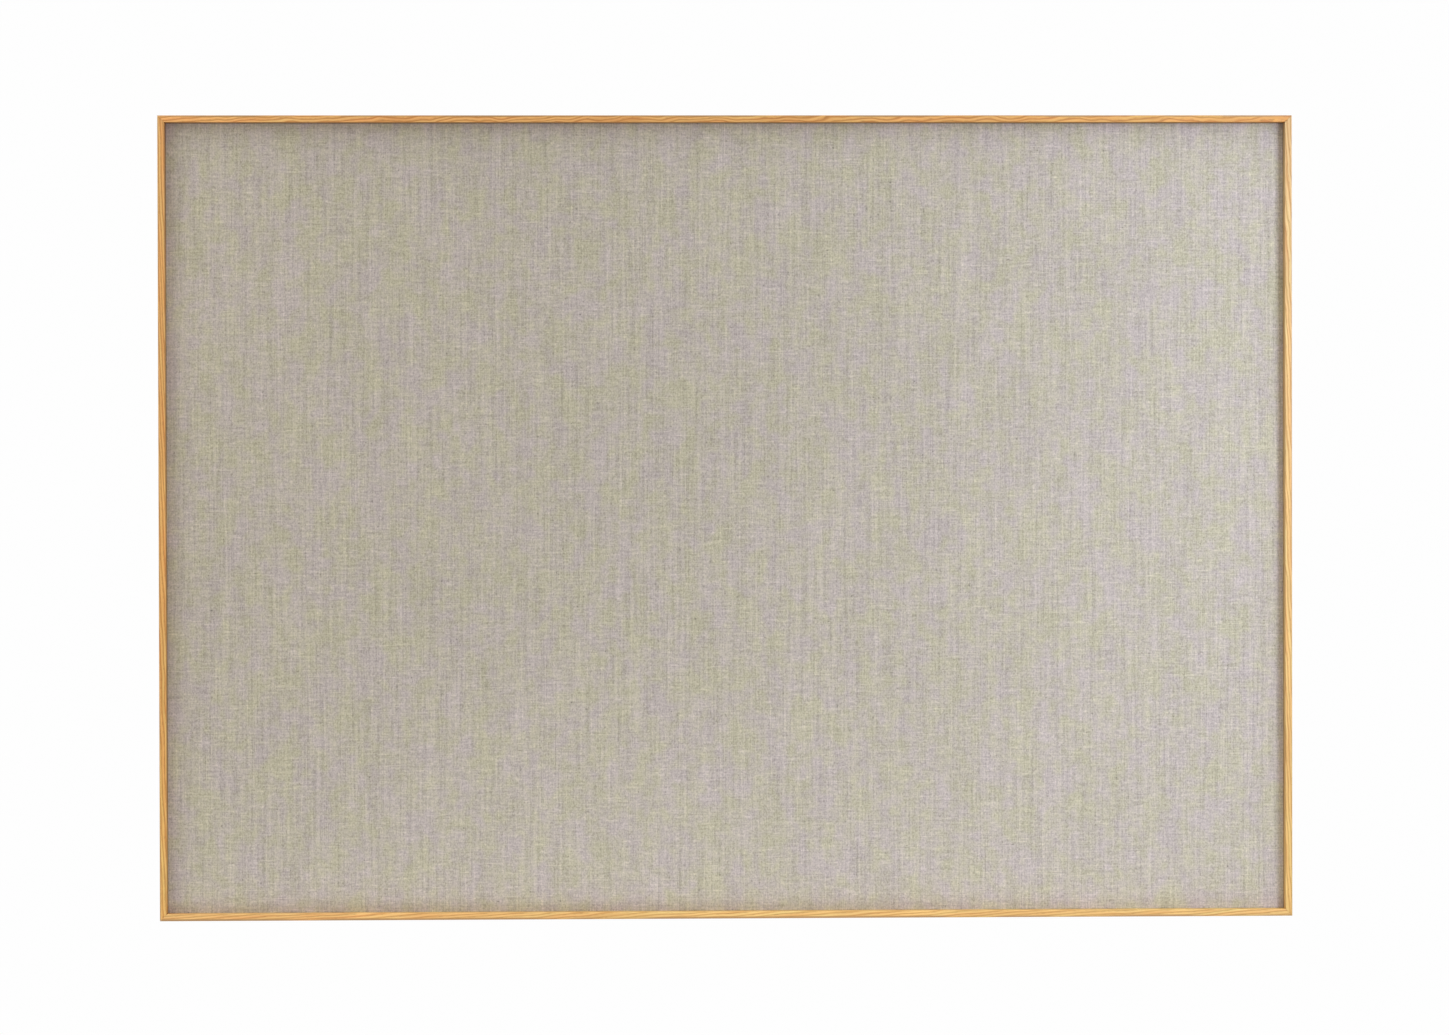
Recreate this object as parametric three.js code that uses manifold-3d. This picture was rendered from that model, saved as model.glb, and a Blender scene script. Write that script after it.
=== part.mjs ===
// A wall-hung pin board: a linen-covered soft panel set back in a slim mitred oak frame.
// Millimetres. X runs to the right and Z up as the board is seen, the front looks towards -Y, and the
// origin is on the wall behind the middle of the board.

import * as THREE from "three";
import { mergeVertices } from "three/addons/utils/BufferGeometryUtils.js";
import Module from "manifold-3d";

const wasm = await Module();
wasm.setup();

// The board as it hangs.
const boardWidth = 1200;
const boardHeight = 850;
const recessDepth = 15; // from the front of the frame down to the linen

// Oak frame.
const railFace = 7; // what shows of the frame from the front
const outerArris = 1; // rounding along the outer front edge
const innerArris = 0.6; // rounding along the inner front edge
const backArris = 0.5; // rounding along the outer back edge
const mitreJoint = 0.1; // glue line between the two rails of a corner
const glueLine = 0.1; // between any two faces that are glued or pressed together

// Linen-covered panel.
const panelGap = 0.3; // from the linen to the rail beside it
const linenThickness = 0.7;
const linenMargin = 36; // cloth turned in over the back of the panel
const panelCorner = 2.6; // rounding of the panel's corners as seen from the front
const panelEdge = 1.4; // how softly the cloth turns over the panel's edges
const coreThickness = 9; // soft board that takes the pins
const carrierThickness = 3; // stiff board behind it

// Softwood battens that close the frame behind the panel.
const battenWidth = 20;
const battenThickness = 6;
const backReveal = 0.6; // how far the frame stands behind the battens

// Steel wedges driven into the mitres from the back.
const wedgeLeg = 4;
const wedgeThickness = 0.5;
const wedgeDepth = 12;
const wedgeSetBack = 0.3; // below the back face of the frame
const wedgeInset = 4; // its point, from both outer faces of the corner
const wedgeClearance = 0.15;
const wedgeHalfAngle = THREE.MathUtils.degToRad(60);

// Flat steel corner plates.
const plateLeg = 45;
const plateWidth = 12;
const plateThickness = 1.5;
const plateInset = 2; // from the frame's inner faces
const plateRounding = 2.5; // of the plate's ends
const plateFirstHole = 12; // along each leg, from the plate's outer corner
const plateLastHole = 6; // from the end of each leg

// Screws.
const screwShank = 1.5; // radius
const screwHead = 3; // radius
const countersink = 1.4; // depth of the conical head
const screwPoint = 2; // length of the tapered tip
const screwPointRadius = 0.3;
const screwClearance = 0.15;
const headClearance = 0.2;
const panelScrewLength = 14;
const panelScrewSink = 0.3; // below the back of the batten
const plateScrewLength = 6.5;
const plateScrewSink = 0.05; // below the back of the plate
const panHead = 2.7; // radius of the hanger screws' heads
const panHeadHeight = 1.6;
const panHeadRim = 0.7; // height of the head's straight side
const hangerScrewLength = 6;
const panelScrewsAcross = 3; // in the top and the bottom batten
const panelScrewsUp = 2; // in each side batten

// Strap hangers with a swinging ring.
const strapWidth = 10;
const strapLength = 40; // from the ring's axis to the strap's lower end
const strapThickness = 1;
const strapRounding = 3;
const strapSlit = THREE.MathUtils.degToRad(60); // where the curl stops, below the axis
const ringWire = 1.1; // radius
const ringPlay = 0.2; // between the wire and the curl
const ringInnerWidth = 13;
const ringDrop = 13; // from the axis to the middle of the wire at the bottom
const ringBend = 2.2; // of the two upper corners
const hangerFromTop = 130; // from the board's top edge to the ring's axis
const hangerFirstScrew = 20; // below the axis
const hangerScrewPitch = 12;

// Rubber bumpers that keep the hangers clear of the wall.
const bumperHeight = 5;
const bumperRadius = 5;
const bumperRounding = 0.8;
const bumperFromEdge = 70; // from the board's top and bottom edges

// How finely round things are cut, and how far a cutter runs on past what it cuts.
const roundSides = 10;
const wireSides = 8;
const wireArcSteps = 3;
const curlSteps = 5;
const arcSteps = 2;
const overrun = 1;

// Planes across the board's depth, from the wall forwards.
const battenBack = -bumperHeight;
const battenFront = battenBack - battenThickness;
const panelBack = battenFront - glueLine;
const carrierBack = panelBack - linenThickness - glueLine;
const carrierFront = carrierBack - carrierThickness;
const coreBack = carrierFront - glueLine;
const coreFront = coreBack - coreThickness;
const panelFront = coreFront - glueLine - linenThickness;
const frameFront = panelFront - recessDepth;
const frameBack = battenBack + backReveal;

// Places seen from the front.
const halfWidth = boardWidth / 2;
const halfHeight = boardHeight / 2;
const panelHalfWidth = halfWidth - railFace - panelGap;
const panelHalfHeight = halfHeight - railFace - panelGap;
const battenOuterX = halfWidth - railFace - glueLine;
const battenOuterZ = halfHeight - railFace - glueLine;
const battenMiddleX = battenOuterX - battenWidth / 2;
const battenMiddleZ = battenOuterZ - battenWidth / 2;

const finish = (color, roughness, metalness = 0) =>
  new THREE.MeshStandardMaterial({ color, roughness, metalness });
const oak = finish(0xdcae6d, 0.5);
const linen = finish(0xbab3a6, 0.95);
const softBoard = finish(0xa8977b, 0.95);
const hardBoard = finish(0x8a6544, 0.7);
const softwood = finish(0xd9c294, 0.7);
const zincSteel = finish(0xb9bcc0, 0.35, 1);
const brightSteel = finish(0xc9cbce, 0.3, 1);
const rubber = finish(0x2b2b2b, 0.8);

// Joining and cutting closed solids.
function toSolid(geometry) {
  const bare = geometry.index ? geometry.toNonIndexed() : geometry.clone();
  bare.deleteAttribute("normal");
  bare.deleteAttribute("uv");
  const merged = mergeVertices(bare);
  const vertProperties = merged.attributes.position.array;
  const triVerts = new Uint32Array(merged.index.array);
  return new wasm.Manifold(new wasm.Mesh({ numProp: 3, vertProperties, triVerts }));
}

function toGeometry(solid) {
  const { vertProperties, triVerts } = solid.getMesh();
  const geometry = new THREE.BufferGeometry();
  geometry.setAttribute("position", new THREE.BufferAttribute(vertProperties, 3));
  geometry.setIndex(new THREE.BufferAttribute(triVerts, 1));
  return geometry;
}

const cutAway = (solid, cutters) => cutters.reduce((left, cutter) => left.subtract(cutter), solid);

function named(name, geometry, material) {
  const mesh = new THREE.Mesh(geometry, material);
  mesh.name = name;
  return mesh;
}

function placed(object, x, y, z) {
  object.position.set(x, y, z);
  return object;
}

// A block between two corners.
function block(low, high) {
  const size = new THREE.Vector3().subVectors(high, low);
  const middle = new THREE.Vector3().addVectors(low, high).divideScalar(2);
  return new THREE.BoxGeometry(size.x, size.y, size.z).translate(middle.x, middle.y, middle.z);
}

// An outline drawn in X and Z, made thick from its back plane forwards, towards -Y.
function thickened(outline, back, depth, options = {}) {
  const geometry = new THREE.ExtrudeGeometry(outline, {
    depth,
    bevelEnabled: false,
    curveSegments: arcSteps,
    ...options,
  });
  return geometry.rotateX(Math.PI / 2).translate(0, back, 0);
}

// A rectangle with round corners, about its own middle.
function roundedRectangle(halfX, halfZ, radius) {
  const outline = new THREE.Shape();
  outline.moveTo(-halfX + radius, -halfZ);
  outline.lineTo(halfX - radius, -halfZ);
  outline.absarc(halfX - radius, -halfZ + radius, radius, -Math.PI / 2, 0);
  outline.lineTo(halfX, halfZ - radius);
  outline.absarc(halfX - radius, halfZ - radius, radius, 0, Math.PI / 2);
  outline.lineTo(-halfX + radius, halfZ);
  outline.absarc(-halfX + radius, halfZ - radius, radius, Math.PI / 2, Math.PI);
  outline.lineTo(-halfX, -halfZ + radius);
  outline.absarc(-halfX + radius, -halfZ + radius, radius, Math.PI, 1.5 * Math.PI);
  return outline;
}

// Screws point towards the front, with y = 0 at the surface that the head bears on or is flush with.
function countersunkProfile(length) {
  return [
    new THREE.Vector2(0, -length),
    new THREE.Vector2(screwPointRadius, -length),
    new THREE.Vector2(screwShank, -length + screwPoint),
    new THREE.Vector2(screwShank, -countersink),
    new THREE.Vector2(screwHead, 0),
    new THREE.Vector2(),
  ];
}

function panHeadProfile(length) {
  return [
    new THREE.Vector2(0, -length),
    new THREE.Vector2(screwPointRadius, -length),
    new THREE.Vector2(screwShank, -length + screwPoint),
    new THREE.Vector2(screwShank, 0),
    new THREE.Vector2(panHead, 0),
    new THREE.Vector2(panHead, panHeadRim),
    new THREE.Vector2(panHead / 2, panHeadHeight),
    new THREE.Vector2(0, panHeadHeight),
  ];
}

// The holes for the two kinds of screw, each with its clearance.
function countersunkHole(length) {
  const shank = screwShank + screwClearance;
  const head = screwHead + headClearance;
  return [
    new THREE.Vector2(0, -length - screwClearance),
    new THREE.Vector2(shank, -length - screwClearance),
    new THREE.Vector2(shank, -countersink),
    new THREE.Vector2(head, 0),
    new THREE.Vector2(head, overrun),
    new THREE.Vector2(0, overrun),
  ];
}

function plainHole(length) {
  const shank = screwShank + screwClearance;
  return [
    new THREE.Vector2(0, -length - screwClearance),
    new THREE.Vector2(shank, -length - screwClearance),
    new THREE.Vector2(shank, overrun),
    new THREE.Vector2(0, overrun),
  ];
}

const turned = (profile) => new THREE.LatheGeometry(profile, roundSides);
const cutterAt = (profile, { x, y, z }) => toSolid(turned(profile).translate(x, y, z));

// Evenly spread places along a length, half a step in from its ends.
function spread(count, length) {
  return Array.from({ length: count }, (_, i) => ((i + 0.5) / count - 0.5) * length);
}

const panelScrewY = battenBack - panelScrewSink;
const panelScrewPlaces = [
  ...spread(panelScrewsAcross, 2 * battenOuterX).flatMap((x) => [
    { x, y: panelScrewY, z: battenMiddleZ },
    { x, y: panelScrewY, z: -battenMiddleZ },
  ]),
  ...spread(panelScrewsUp, 2 * battenOuterZ).flatMap((z) => [
    { x: battenMiddleX, y: panelScrewY, z },
    { x: -battenMiddleX, y: panelScrewY, z },
  ]),
];

const plateCornerX = halfWidth - railFace - plateInset;
const plateCornerZ = halfHeight - railFace - plateInset;
const plateBack = battenBack + plateThickness;
const plateHoleSteps = [plateFirstHole, plateLeg - plateLastHole];
const plateHoles = plateHoleSteps.flatMap((step) => [
  { along: step, across: plateWidth / 2 },
  { along: plateWidth / 2, across: step },
]);
const corners = [
  { name: "bottom_left", sideX: -1, sideZ: -1 },
  { name: "bottom_right", sideX: 1, sideZ: -1 },
  { name: "top_left", sideX: -1, sideZ: 1 },
  { name: "top_right", sideX: 1, sideZ: 1 },
];
const plateScrewPlaces = (corner) =>
  plateHoles.map(({ along, across }) => ({
    x: corner.sideX * (plateCornerX - along),
    y: plateBack - plateScrewSink,
    z: corner.sideZ * (plateCornerZ - across),
  }));

const ringAxisZ = halfHeight - hangerFromTop;
const curlInner = ringWire + ringPlay;
const curlOuter = curlInner + strapThickness;
const ringAxisY = battenBack + curlOuter;
const hangers = [
  { name: "left", x: -battenMiddleX },
  { name: "right", x: battenMiddleX },
];
const hangerScrewPlaces = (hanger) =>
  [0, 1].map((step) => ({
    x: hanger.x,
    y: battenBack + strapThickness,
    z: ringAxisZ - hangerFirstScrew - step * hangerScrewPitch,
  }));

const holesFor = (profile, places) => places.map((place) => cutterAt(profile, place));
const panelHoles = holesFor(countersunkHole(panelScrewLength), panelScrewPlaces);
const cornerPlateHoles = holesFor(countersunkHole(plateScrewLength), corners.flatMap(plateScrewPlaces));
const hangerHoles = holesFor(plainHole(hangerScrewLength), hangers.flatMap(hangerScrewPlaces));

// The wedge in a corner: a V whose point lies on the mitre, one leg in each rail. The corner's two
// outer faces meet at the outline's origin.
function wedgeOutline(grow = 0) {
  const thick = wedgeThickness / 2 + grow;
  const leg = wedgeLeg + grow;
  const mitre = Math.PI / 4;
  const tip = new THREE.Vector2(wedgeInset, wedgeInset);
  const pointBack = thick / Math.sin(wedgeHalfAngle);
  const polar = (angle, radius) => new THREE.Vector2(radius * Math.cos(angle), radius * Math.sin(angle));
  const end = (side, offset) =>
    polar(mitre + side * wedgeHalfAngle, leg)
      .add(polar(mitre + side * (wedgeHalfAngle + Math.PI / 2), offset))
      .add(tip);
  return new THREE.Shape([
    polar(mitre, -pointBack).add(tip),
    end(-1, thick),
    end(-1, -thick),
    polar(mitre, pointBack).add(tip),
    end(1, -thick),
    end(1, thick),
  ]);
}

// Rails. Each is drawn along X with its outer face at z = 0 and its inner face towards +Z.
function railGeometry(length) {
  const profile = new THREE.Shape();
  profile.moveTo(outerArris, frameFront);
  profile.lineTo(railFace - innerArris, frameFront);
  profile.absarc(railFace - innerArris, frameFront + innerArris, innerArris, -Math.PI / 2, 0);
  profile.lineTo(railFace, frameBack);
  profile.lineTo(backArris, frameBack);
  profile.absarc(backArris, frameBack - backArris, backArris, Math.PI / 2, Math.PI);
  profile.lineTo(0, frameFront + outerArris);
  profile.absarc(outerArris, frameFront + outerArris, outerArris, Math.PI, 1.5 * Math.PI);

  const options = { depth: length, bevelEnabled: false, curveSegments: arcSteps };
  const bar = new THREE.ExtrudeGeometry(profile, options);
  const points = bar.attributes.position;
  const jointCut = (mitreJoint / 2) * Math.SQRT2;
  for (let i = 0; i < points.count; i += 1) {
    const inward = points.getX(i);
    const end = points.getZ(i) > length / 2 ? -1 : 1;
    points.setXYZ(i, end * (length / 2 - inward - jointCut), points.getY(i), inward);
  }
  const slotDepth = overrun + wedgeSetBack + wedgeDepth + wedgeClearance;
  const slot = () => thickened(wedgeOutline(wedgeClearance), frameBack + overrun, slotDepth);
  const slots = [
    slot().translate(-length / 2, 0, 0),
    slot()
      .rotateY(-Math.PI / 2)
      .translate(length / 2, 0, 0),
  ];
  return toGeometry(cutAway(toSolid(bar), slots.map(toSolid)));
}

function frameRails() {
  const across = railGeometry(boardWidth);
  const upright = railGeometry(boardHeight);
  const sides = [
    { name: "bottom_rail", geometry: across, x: 0, z: -halfHeight, turn: 0 },
    { name: "top_rail", geometry: across, x: 0, z: halfHeight, turn: Math.PI },
    { name: "left_stile", geometry: upright, x: -halfWidth, z: 0, turn: Math.PI / 2 },
    { name: "right_stile", geometry: upright, x: halfWidth, z: 0, turn: -Math.PI / 2 },
  ];
  return sides.map(({ name, geometry, x, z, turn }) => {
    const rail = placed(named(name, geometry, oak), x, 0, z);
    rail.rotation.y = turn;
    return rail;
  });
}

// Battens. The top and bottom ones run the full width, and the side ones stand between them.
function battenMesh(name, middleX, middleZ, halfX, halfZ) {
  const low = new THREE.Vector3(middleX - halfX, battenFront, middleZ - halfZ);
  const high = new THREE.Vector3(middleX + halfX, battenBack, middleZ + halfZ);
  const holes = [...panelHoles, ...cornerPlateHoles, ...hangerHoles];
  return named(name, toGeometry(cutAway(toSolid(block(low, high)), holes)), softwood);
}

function battens() {
  const sideEnd = battenOuterZ - battenWidth - glueLine;
  return [
    battenMesh("top_batten", 0, battenMiddleZ, battenOuterX, battenWidth / 2),
    battenMesh("bottom_batten", 0, -battenMiddleZ, battenOuterX, battenWidth / 2),
    battenMesh("left_batten", -battenMiddleX, 0, battenWidth / 2, sideEnd),
    battenMesh("right_batten", battenMiddleX, 0, battenWidth / 2, sideEnd),
  ];
}

// Panel. The cloth, the space inside it and the boards that fill it are one soft-edged form, each
// further in than the last.
function panelForm(inset) {
  const edge = panelEdge - inset;
  const outline = roundedRectangle(panelHalfWidth - inset, panelHalfHeight - inset, panelCorner - inset);
  const depth = panelBack - panelFront - 2 * inset;
  return toSolid(
    thickened(outline, panelBack - inset - edge, depth - 2 * edge, {
      bevelEnabled: true,
      bevelSize: edge,
      bevelThickness: edge,
      bevelOffset: -edge,
      bevelSegments: arcSteps,
    }),
  );
}

function slab(halfX, halfZ, front, back) {
  return toSolid(block(new THREE.Vector3(-halfX, front, -halfZ), new THREE.Vector3(halfX, back, halfZ)));
}

function panel() {
  const filling = panelForm(linenThickness + glueLine);
  const coreSpace = slab(panelHalfWidth, panelHalfHeight, panelFront, coreBack);
  const carrierSpace = slab(panelHalfWidth, panelHalfHeight, carrierFront, panelBack);
  const windowX = panelHalfWidth - linenMargin;
  const windowZ = panelHalfHeight - linenMargin;
  const backWindow = slab(windowX, windowZ, carrierFront, panelBack + overrun);
  const cloth = panelForm(0).subtract(panelForm(linenThickness)).subtract(backWindow);
  return [
    named("pin_core", toGeometry(cutAway(filling.intersect(coreSpace), panelHoles)), softBoard),
    named("carrier_board", toGeometry(cutAway(filling.intersect(carrierSpace), panelHoles)), hardBoard),
    named("linen_cover", toGeometry(cutAway(cloth, panelHoles)), linen),
  ];
}

function screwMesh(name, profile, { x, y, z }) {
  return placed(named(name, turned(profile), brightSteel), x, y, z);
}

function panelScrews() {
  return panelScrewPlaces.map((place, i) =>
    screwMesh(`panel_screw_${i + 1}`, countersunkProfile(panelScrewLength), place),
  );
}

// A corner: the wedge in its mitre, and the flat plate with its screws.
function plateGeometry(corner) {
  const outline = new THREE.Shape();
  outline.moveTo(0, 0);
  outline.lineTo(plateLeg - plateRounding, 0);
  outline.absarc(plateLeg - plateRounding, plateRounding, plateRounding, -Math.PI / 2, 0);
  outline.lineTo(plateLeg, plateWidth - plateRounding);
  outline.absarc(plateLeg - plateRounding, plateWidth - plateRounding, plateRounding, 0, Math.PI / 2);
  outline.lineTo(plateWidth, plateWidth);
  outline.lineTo(plateWidth, plateLeg - plateRounding);
  outline.absarc(plateWidth - plateRounding, plateLeg - plateRounding, plateRounding, 0, Math.PI / 2);
  outline.lineTo(plateRounding, plateLeg);
  outline.absarc(plateRounding, plateLeg - plateRounding, plateRounding, Math.PI / 2, Math.PI);
  const flat = thickened(outline, plateBack, plateThickness).rotateY(cornerTurn(corner));
  flat.translate(corner.sideX * plateCornerX, 0, corner.sideZ * plateCornerZ);
  return toGeometry(cutAway(toSolid(flat), cornerPlateHoles));
}

// The quarter turn that brings the bottom left corner round to this one.
function cornerTurn({ sideX, sideZ }) {
  if (sideZ < 0) return sideX < 0 ? 0 : -Math.PI / 2;
  return sideX < 0 ? Math.PI / 2 : Math.PI;
}

function cornerFixings(corner) {
  const wedgeForm = thickened(wedgeOutline(), frameBack - wedgeSetBack, wedgeDepth);
  const wedge = named(`mitre_wedge_${corner.name}`, wedgeForm, zincSteel);
  placed(wedge, corner.sideX * halfWidth, 0, corner.sideZ * halfHeight);
  wedge.rotation.y = cornerTurn(corner);
  const plate = named(`corner_plate_${corner.name}`, plateGeometry(corner), zincSteel);
  const screws = plateScrewPlaces(corner).map((place, i) =>
    screwMesh(`plate_screw_${corner.name}_${i + 1}`, countersunkProfile(plateScrewLength), place),
  );
  return [wedge, plate, ...screws];
}

// A hanger's strap: a flat strip on the batten whose upper end curls round the ring's bar. Its side
// view is drawn in Y and Z about the ring's axis, and its width then runs along X.
function strapSolid() {
  const curl = new THREE.Shape();
  curl.moveTo(-curlOuter, -strapLength);
  curl.lineTo(-curlOuter, 0);
  curl.absarc(0, 0, curlOuter, Math.PI, -strapSlit, true);
  curl.absarc(0, 0, curlInner, -strapSlit, Math.PI);
  curl.lineTo(-curlInner, -strapLength);
  const options = { depth: strapWidth, bevelEnabled: false, curveSegments: curlSteps };
  const strip = new THREE.ExtrudeGeometry(curl, options);
  const alongY = new THREE.Vector3(0, 1, 0);
  const alongZ = new THREE.Vector3(0, 0, 1);
  const alongX = new THREE.Vector3(1, 0, 0);
  strip.applyMatrix4(new THREE.Matrix4().makeBasis(alongY, alongZ, alongX));
  strip.translate(-strapWidth / 2, 0, 0);

  // The lower end is round when seen from the back. The plan's upper end stays clear of the curl.
  const planTop = curlOuter + strapRounding;
  const plan = roundedRectangle(strapWidth / 2, (planTop + strapLength) / 2, strapRounding);
  const trim = thickened(plan, planTop, 2 * planTop).translate(0, 0, (planTop - strapLength) / 2);
  return toSolid(strip).intersect(toSolid(trim));
}

function strapMesh(hanger) {
  const strap = strapSolid().translate([hanger.x, ringAxisY, ringAxisZ]);
  return named(`hanger_strap_${hanger.name}`, toGeometry(cutAway(strap, hangerHoles)), zincSteel);
}

// A hanger's ring: a closed loop of wire in X and Z, hanging from its straight bar at the origin.
function ringGeometry() {
  const half = ringInnerWidth / 2 + ringWire;
  const bowMiddle = half - ringDrop;
  const loop = new THREE.Path();
  loop.moveTo(-half + ringBend, 0);
  loop.lineTo(half - ringBend, 0);
  loop.absarc(half - ringBend, -ringBend, ringBend, Math.PI / 2, 0, true);
  loop.lineTo(half, bowMiddle);
  loop.absarc(0, bowMiddle, half, 0, -Math.PI, true);
  loop.lineTo(-half, -ringBend);
  loop.absarc(-half + ringBend, -ringBend, ringBend, Math.PI, Math.PI / 2, true);
  const path = loop.getPoints(wireArcSteps).slice(0, -1);

  const vertices = path.flatMap((point, i) => {
    const arriving = point.clone().sub(path.at(i - 1)).normalize();
    const leaving = path[(i + 1) % path.length].clone().sub(point).normalize();
    const forward = arriving.add(leaving).normalize();
    return Array.from({ length: wireSides }, (_, side) => {
      const angle = (side / wireSides) * 2 * Math.PI;
      const sideways = ringWire * Math.cos(angle);
      return [point.x + forward.y * sideways, ringWire * Math.sin(angle), point.y - forward.x * sideways];
    });
  });
  const at = (ring, side) => (ring % path.length) * wireSides + (side % wireSides);
  const faces = path.flatMap((_, ring) =>
    Array.from({ length: wireSides }, (__, side) => [
      [at(ring, side), at(ring + 1, side + 1), at(ring + 1, side)],
      [at(ring, side), at(ring, side + 1), at(ring + 1, side + 1)],
    ]),
  );
  const geometry = new THREE.BufferGeometry();
  geometry.setAttribute("position", new THREE.Float32BufferAttribute(vertices.flat(), 3));
  geometry.setIndex(faces.flat(2));
  return geometry;
}

function hangerParts(hanger) {
  const ring = named(`hanger_ring_${hanger.name}`, ringGeometry(), brightSteel);
  placed(ring, hanger.x, ringAxisY, ringAxisZ);
  const screws = hangerScrewPlaces(hanger).map((place, i) =>
    screwMesh(`hanger_screw_${hanger.name}_${i + 1}`, panHeadProfile(hangerScrewLength), place),
  );
  return [strapMesh(hanger), ring, ...screws];
}

// A bumper: a low round pad with a softened outer rim.
function bumperMesh(corner) {
  const outline = new THREE.Path();
  outline.moveTo(0, 0);
  outline.lineTo(bumperRadius, 0);
  outline.lineTo(bumperRadius, bumperHeight - bumperRounding);
  outline.absarc(
    bumperRadius - bumperRounding,
    bumperHeight - bumperRounding,
    bumperRounding,
    0,
    Math.PI / 2,
  );
  outline.lineTo(0, bumperHeight);
  const bumper = named(`wall_bumper_${corner.name}`, turned(outline.getPoints(arcSteps)), rubber);
  const z = corner.sideZ * (halfHeight - bumperFromEdge);
  return placed(bumper, corner.sideX * battenMiddleX, battenBack, z);
}

function group(...meshes) {
  const made = new THREE.Group();
  made.add(...meshes);
  return made;
}

const pinBoard = group(
  group(...frameRails()),
  group(...battens()),
  group(...panel(), ...panelScrews()),
  ...corners.map((corner) => group(...cornerFixings(corner), bumperMesh(corner))),
  ...hangers.map((hanger) => group(...hangerParts(hanger))),
);

export default pinBoard;
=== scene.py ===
import math

import bmesh
import bpy
import numpy as np
from mathutils import Matrix, Vector


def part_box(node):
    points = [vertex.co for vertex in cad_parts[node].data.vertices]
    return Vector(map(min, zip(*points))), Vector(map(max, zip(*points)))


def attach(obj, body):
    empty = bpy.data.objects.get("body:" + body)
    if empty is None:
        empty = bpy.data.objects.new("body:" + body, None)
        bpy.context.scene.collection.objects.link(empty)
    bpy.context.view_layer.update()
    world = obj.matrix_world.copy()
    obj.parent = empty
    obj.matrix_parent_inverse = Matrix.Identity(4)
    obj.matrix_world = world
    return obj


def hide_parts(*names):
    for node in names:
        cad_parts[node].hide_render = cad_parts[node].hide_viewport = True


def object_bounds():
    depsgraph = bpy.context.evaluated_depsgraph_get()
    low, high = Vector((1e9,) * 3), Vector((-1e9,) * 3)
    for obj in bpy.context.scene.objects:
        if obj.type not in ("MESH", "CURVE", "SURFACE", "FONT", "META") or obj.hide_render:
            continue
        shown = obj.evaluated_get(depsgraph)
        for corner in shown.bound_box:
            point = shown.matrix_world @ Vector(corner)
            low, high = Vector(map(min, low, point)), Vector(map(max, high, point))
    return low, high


# A wall-hung pin board: linen over soft board, set back in a slim oak frame. Metres, the front
# looks towards -Y and the origin is on the wall behind the middle of the board.
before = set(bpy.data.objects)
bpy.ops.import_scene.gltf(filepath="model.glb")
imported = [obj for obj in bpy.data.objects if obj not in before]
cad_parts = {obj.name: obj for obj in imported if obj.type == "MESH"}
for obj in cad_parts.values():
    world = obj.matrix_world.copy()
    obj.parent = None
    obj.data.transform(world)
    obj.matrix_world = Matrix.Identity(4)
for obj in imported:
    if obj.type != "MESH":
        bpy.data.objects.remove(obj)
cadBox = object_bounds()
scene = bpy.context.scene
mm = 0.001
corners = {
    "bottom_left": (-1, -1),
    "bottom_right": (1, -1),
    "top_left": (-1, 1),
    "top_right": (1, 1),
}
sides = ("left", "right")

camera = {
    "lens": 120,
    "sensor": 36,
    "place": (-0.1534, -5.1477, 0.0583),
    "yaw": -1.687,  # degrees, as are the next two
    "pitch": -0.656,
    "roll": 0.125,
}


def addObject(name, data):
    added = bpy.data.objects.new(name, data)
    scene.collection.objects.link(added)
    return added


def makePiece(name, points, faces=(), edges=()):
    mesh = bpy.data.meshes.new(name)
    mesh.from_pydata([tuple(point) for point in points], edges, faces)
    return addObject(name, mesh)


def placeCamera():
    data = bpy.data.cameras.new("camera")
    data.lens = camera["lens"]
    data.sensor_width = camera["sensor"]
    turn = Matrix.Rotation(math.radians(camera["yaw"]), 4, "Z")
    turn = turn @ Matrix.Rotation(math.radians(camera["pitch"]), 4, "X")
    turn = turn @ Matrix.Rotation(math.radians(camera["roll"]), 4, "Y")
    level = Matrix.Rotation(math.radians(90), 4, "X")
    scene.camera = addObject("camera", data)
    scene.camera.matrix_world = Matrix.Translation(camera["place"]) @ turn @ level


placeCamera()
print("camera placed")


# Node trees, for materials and for Geometry Nodes. Arithmetic on a value adds its own maths nodes.
class Value:
    def __init__(self, tree, socket):
        self.tree = tree
        self.socket = socket

    def __add__(self, other):
        return calc("ADD", self, other)

    def __sub__(self, other):
        return calc("SUBTRACT", self, other)

    def __rsub__(self, other):
        return calc("SUBTRACT", other, self)

    def __mul__(self, other):
        return calc("MULTIPLY", self, other)

    def __truediv__(self, other):
        return calc("DIVIDE", self, other)

    __radd__ = __add__
    __rmul__ = __mul__


# A list links several values to one input.
def addNode(tree, kind, inputs=None, **settings):
    node = tree.nodes.new(kind)
    for name, value in settings.items():
        setattr(node, name, value)
    for key, given in (inputs or {}).items():
        for value in given if isinstance(given, list) else [given]:
            if isinstance(value, Value):
                tree.links.new(value.socket, node.inputs[key])
            else:
                node.inputs[key].default_value = value
    return node


def take(tree, kind, inputs=None, output=0, **settings):
    return Value(tree, addNode(tree, kind, inputs, **settings).outputs[output])


def calc(operation, *values):
    tree = next(value.tree for value in values if isinstance(value, Value))
    return take(tree, "ShaderNodeMath", dict(enumerate(values)), operation=operation)


# Brings a value from one range to another, held at both ends.
def ranged(value, low, high, newLow=0.0, newHigh=1.0):
    inputs = {"Value": value, 1: low, 2: high, 3: newLow, 4: newHigh}
    return take(value.tree, "ShaderNodeMapRange", inputs)


def mixed(factor, first, second, blend="MIX"):
    colors = [color if isinstance(color, Value) else (*color, 1) for color in (first, second)]
    inputs = {0: factor, 6: colors[0], 7: colors[1]}
    return take(factor.tree, "ShaderNodeMix", inputs, 2, data_type="RGBA", blend_type=blend)


# Multiplies colours, or places, part by part.
def product(first, second):
    return take(first.tree, "ShaderNodeVectorMath", {0: first, 1: second}, operation="MULTIPLY")


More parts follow.
